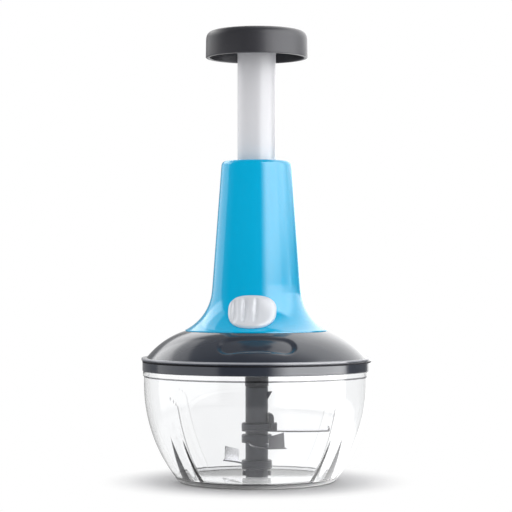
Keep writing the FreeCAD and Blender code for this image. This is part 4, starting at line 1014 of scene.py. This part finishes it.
def makeBlade(which, wing):
    # the blade with its corners merged and its broad faces marked for the painted reflection
    node = which + "_blade"
    bm = bmesh.new()
    bm.from_mesh(nodes[node].data)
    bmesh.ops.remove_doubles(bm, verts=bm.verts, dist=1e-6)
    bmesh.ops.dissolve_limit(bm, angle_limit=radians(1), verts=bm.verts, edges=bm.edges)
    piece = objectFrom(which + "Blade", bm)
    paintedReflection = piece.data.attributes.new("paintedReflection", "FLOAT", "FACE")
    # broad faces get the painted reflection, in full when lying flat and by the wing's share when upright
    for face in piece.data.polygons:
        if face.area > bladeSize.broadArea * mm * mm:
            paintedReflection.data[face.index].value = 1.0 if abs(face.normal.z) > bladeSize.flat else wing
    finishPiece(piece, "blades", "steel", "bladeSteel", node)


# twisted rod

rodSize = {"Width": 9.0, "Thickness": 2.6, "Edge": 0.4, "Lead": 36.0, "Low": 104.0, "Journal Radius": 4.0}
rodSize["High"] = highOf("twist_rod")
rodSize["Journal Low"] = lowOf("twist_rod")


def makeRod():
    piece = grown("twistRod", "twist", "rodSteel", rodSize, {"Steps": 180})
    finishPiece(piece, "spindle", "steel", "rodSteel", "twist_rod")


# return spring

springSize = {"Radius": 12.9, "Wire": 0.7}
springSize["Low"] = lowOf("return_spring") + springSize["Wire"]
springSize["High"] = highOf("return_spring") - springSize["Wire"]


def makeSpring():
    piece = grown("returnSpring", "coil", "screwSteel", springSize, {"Turns": 8.0, "Steps": 48})
    finishPiece(piece, "head", "zinc_steel", "screwSteel", "return_spring")
    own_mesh(piece)


# screws

screwSize = {"Head Radius": 2.8, "Head Height": 1.6, "Shank": 1.5}
screwKinds = [
    # name, node, body, circle, count, first angle, way, length
    ("coverScrews", "cover_screws", "head", 65.84, 4, 45, 1.0, 8.0),
    ("towerScrews", "tower_screws", "head", 36.0, 4, 45, 1.0, 8.0),
    ("housingScrews", "housing_screws", "head", 24.0, 3, 90, -1.0, 3.8),
    ("capScrew", "cap_screw", "plunger", 0.0, 1, 0, 1.0, 8.0),
    ("hubScrew", "hub_screw", "drive", 0.0, 1, 0, -1.0, 7.0),
]


def makeScrews(name, node, body, circle, count, first, way, length):
    height = screwSize["Head Height"]
    level = lowOf(node) + height if way > 0 else highOf(node) - height
    piece = grown(name, "screws", "screwSteel", {**screwSize, "Circle": circle, "Level": level, "Length": length},
                  {"Count": count, "First": radians(first), "Way": way})
    finishPiece(piece, body, "zinc_steel", "screwSteel", node)


for blade in bladeSize.wing.items():
    makeBlade(*blade)
makeRod()
makeSpring()
for screws in screwKinds:
    makeScrews(*screws)
print("hardware ready")


# what stays as it was built

kept = {
    "rodSteel": ["driver_pin", "pivot_pin"],
    "screwSteel": ["foot_screws", "spring_seat"],
    "shaftGrey": ["blade_shaft", "upper_collar", "middle_collar", "lower_collar"],
    "plateGrey": ["drive_hub", "ratchet_crown"],
    "natural": ["top_bush", "guide_tube", "drive_nut", "hub_bush", "ratchet_driver", "rod_bush", "clutch_housing",
                "plunger_foot"],
    "seal": ["lid_gasket", "stop_ring"],
    "buttonWhite": ["lock_bolt"],
    "lidSmoke": ["cover_plate"],
}
for finish, names in kept.items():
    for name in names:
        node = nodes[name]
        if not node.data.materials:
            node.data.materials.append(finishes[finish])
        for place in node.material_slots:
            place.material = finishes[finish]
print("kept pieces painted")


# floor

floorSize = Sizes(across=30, level=-0.0002, fadeStart=0.066, fadeEnd=0.112)


def emissionWhere(tree, surface, mask):
    # white where the mask says so when seen straight, and all over when seen through plastic or mirrored
    path = addNode(tree, "ShaderNodeLightPath").outputs
    straight = sums(tree, "MULTIPLY", path["Is Camera Ray"], mask)
    through = sums(tree, "MAXIMUM", straight, path["Is Transmission Ray"])
    seen = sums(tree, "MAXIMUM", through, path["Is Glossy Ray"])
    glow = shader(tree, "Emission", {"Color": (1, 1, 1, 1), "Strength": 1.0})
    return shader(tree, "MixShader", {"Fac": seen, 1: surface, 2: glow})


def makeFloor():
    size = floorSize
    bpy.ops.mesh.primitive_plane_add(size=size.across, location=(0, 0, size.level))
    floor = bpy.context.object
    floor.name = "floor"
    material = bpy.data.materials.new("floorPale")
    material.use_nodes = True
    tree = material.node_tree
    surface = tree.nodes["Principled BSDF"]
    surface.inputs["Base Color"].default_value = (0.86, 0.86, 0.87, 1)
    surface.inputs["Roughness"].default_value = 0.7
    away = shader(tree, "VectorMath", {0: placeOf(tree)}, "Value", operation="LENGTH")
    fade = mapped(tree, away, 0.0, 1.0, size.fadeStart, size.fadeEnd, interpolation_type="SMOOTHSTEP")
    whole = emissionWhere(tree, surface.outputs["BSDF"], fade)
    tree.links.new(whole, tree.nodes["Material Output"].inputs["Surface"])
    floor.data.materials.append(material)
    floor.visible_glossy = False


# lights

studio = Sizes(
    ambient=0.8, front=0.015, backLeft=0.35, backRight=2.6, softHeight=0.05,
    # where the back brightens to the right and the front darkens
    across=(-0.15, 0.25), behind=(-0.25, 0.25),
    # panels seen in reflections: azimuth range in degrees, range of the direction's height, strength, soft degrees
    panels=[
        (-190, 190, -1.2, -0.25, 0.85, 5),
        (-120, -36, -0.25, 0.045, 1.7, 5),
        (12, 185, -1.2, -0.3, 3.6, 20),
        (12, 112, -0.3, 0.1, 9.5, 20),
        (12, 112, 0.1, 0.8, 6.2, 20),
        (-190, -95, 0.3, 0.62, 2.4, 10),
        (99, 150, -0.3, 0.12, 0.25, 4),
    ],
    # lamps: name, place, power
    lamps=[("keyRight", (0.9, -0.9, 0.8), 4), ("fillLeft", (-1.0, 0.7, 0.7), 5)],
    lampAim=(0.0, 0.0, 0.15), lampWidth=1.2,
)


def within(tree, value, low, high, soft):
    # 1 between two values and 0 outside, with soft edges
    return sums(tree, "MULTIPLY", mapped(tree, value, 0.0, 1.0, low, low + soft),
                mapped(tree, value, 0.0, 1.0, high, high - soft))


def mirroredStudio(tree):
    # what reflections see: a dark front, a pale back and the panels
    sight = shader(tree, "TexCoord", output="Generated")
    way = addNode(tree, "ShaderNodeSeparateXYZ", {"Vector": sight}).outputs
    turn = sums(tree, "ARCTAN2", way["X"], sums(tree, "MULTIPLY", way["Y"], -1.0))
    strength = sums(tree, "MULTIPLY", mapped(tree, way["X"], studio.backLeft, studio.backRight, *studio.across),
                    mapped(tree, way["Y"], studio.front, 1.0, *studio.behind))
    for first, last, low, high, power, soft in studio.panels:
        panel = sums(tree, "MULTIPLY", within(tree, turn, radians(first), radians(last), radians(soft)),
                     within(tree, way["Z"], low, high, studio.softHeight))
        strength = shader(tree, "Mix", {"Factor": panel, "A": strength, "B": power}, data_type="FLOAT")
    return strength


def makeWorld():
    # white when seen straight or through plastic, a plain ambient light, and the studio for reflections
    world = bpy.data.worlds.new("studio")
    bpy.context.scene.world = world
    world.use_nodes = True
    tree = world.node_tree
    ambient = tree.nodes["Background"]
    ambient.inputs["Color"].default_value = (1, 1, 1, 1)
    ambient.inputs["Strength"].default_value = studio.ambient
    white, mirrored = [shader(tree, "Background", {"Color": (1, 1, 1, 1), "Strength": strength})
                       for strength in (1.0, mirroredStudio(tree))]
    path = addNode(tree, "ShaderNodeLightPath").outputs
    seen = sums(tree, "MAXIMUM", path["Is Camera Ray"], path["Is Transmission Ray"])
    bounced = sums(tree, "MULTIPLY", path["Is Glossy Ray"], path["Is Reflection Ray"])
    plain = shader(tree, "MixShader", {"Fac": seen, 1: ambient.outputs["Background"], 2: white})
    whole = shader(tree, "MixShader", {"Fac": bounced, 1: plain, 2: mirrored})
    tree.links.new(whole, tree.nodes["World Output"].inputs["Surface"])


def addLamp(name, place, power):
    data = bpy.data.lights.new(name, "AREA")
    data.size = studio.lampWidth
    data.energy = power
    lamp = addItem(name, data)
    lamp.location = place
    lamp.rotation_euler = (Vector(studio.lampAim) - Vector(place)).to_track_quat("-Z", "Y").to_euler()


# camera

cameraSize = Sizes(place=(0, -1.295, 0.1462), lens=130, shiftX=-0.0014, shiftY=0.031, far=50)


def makeCamera():
    data = bpy.data.cameras.new("camera")
    data.lens = cameraSize.lens
    data.shift_x, data.shift_y = cameraSize.shiftX, cameraSize.shiftY
    data.clip_end = cameraSize.far
    camera = addItem("camera", data)
    camera.location = cameraSize.place
    camera.rotation_euler = (pi / 2, 0, 0)
    bpy.context.scene.camera = camera


makeFloor()
makeWorld()
for lamp in studio.lamps:
    addLamp(*lamp)
makeCamera()
bpy.context.scene.view_settings.view_transform = "Standard"
print("stage ready")

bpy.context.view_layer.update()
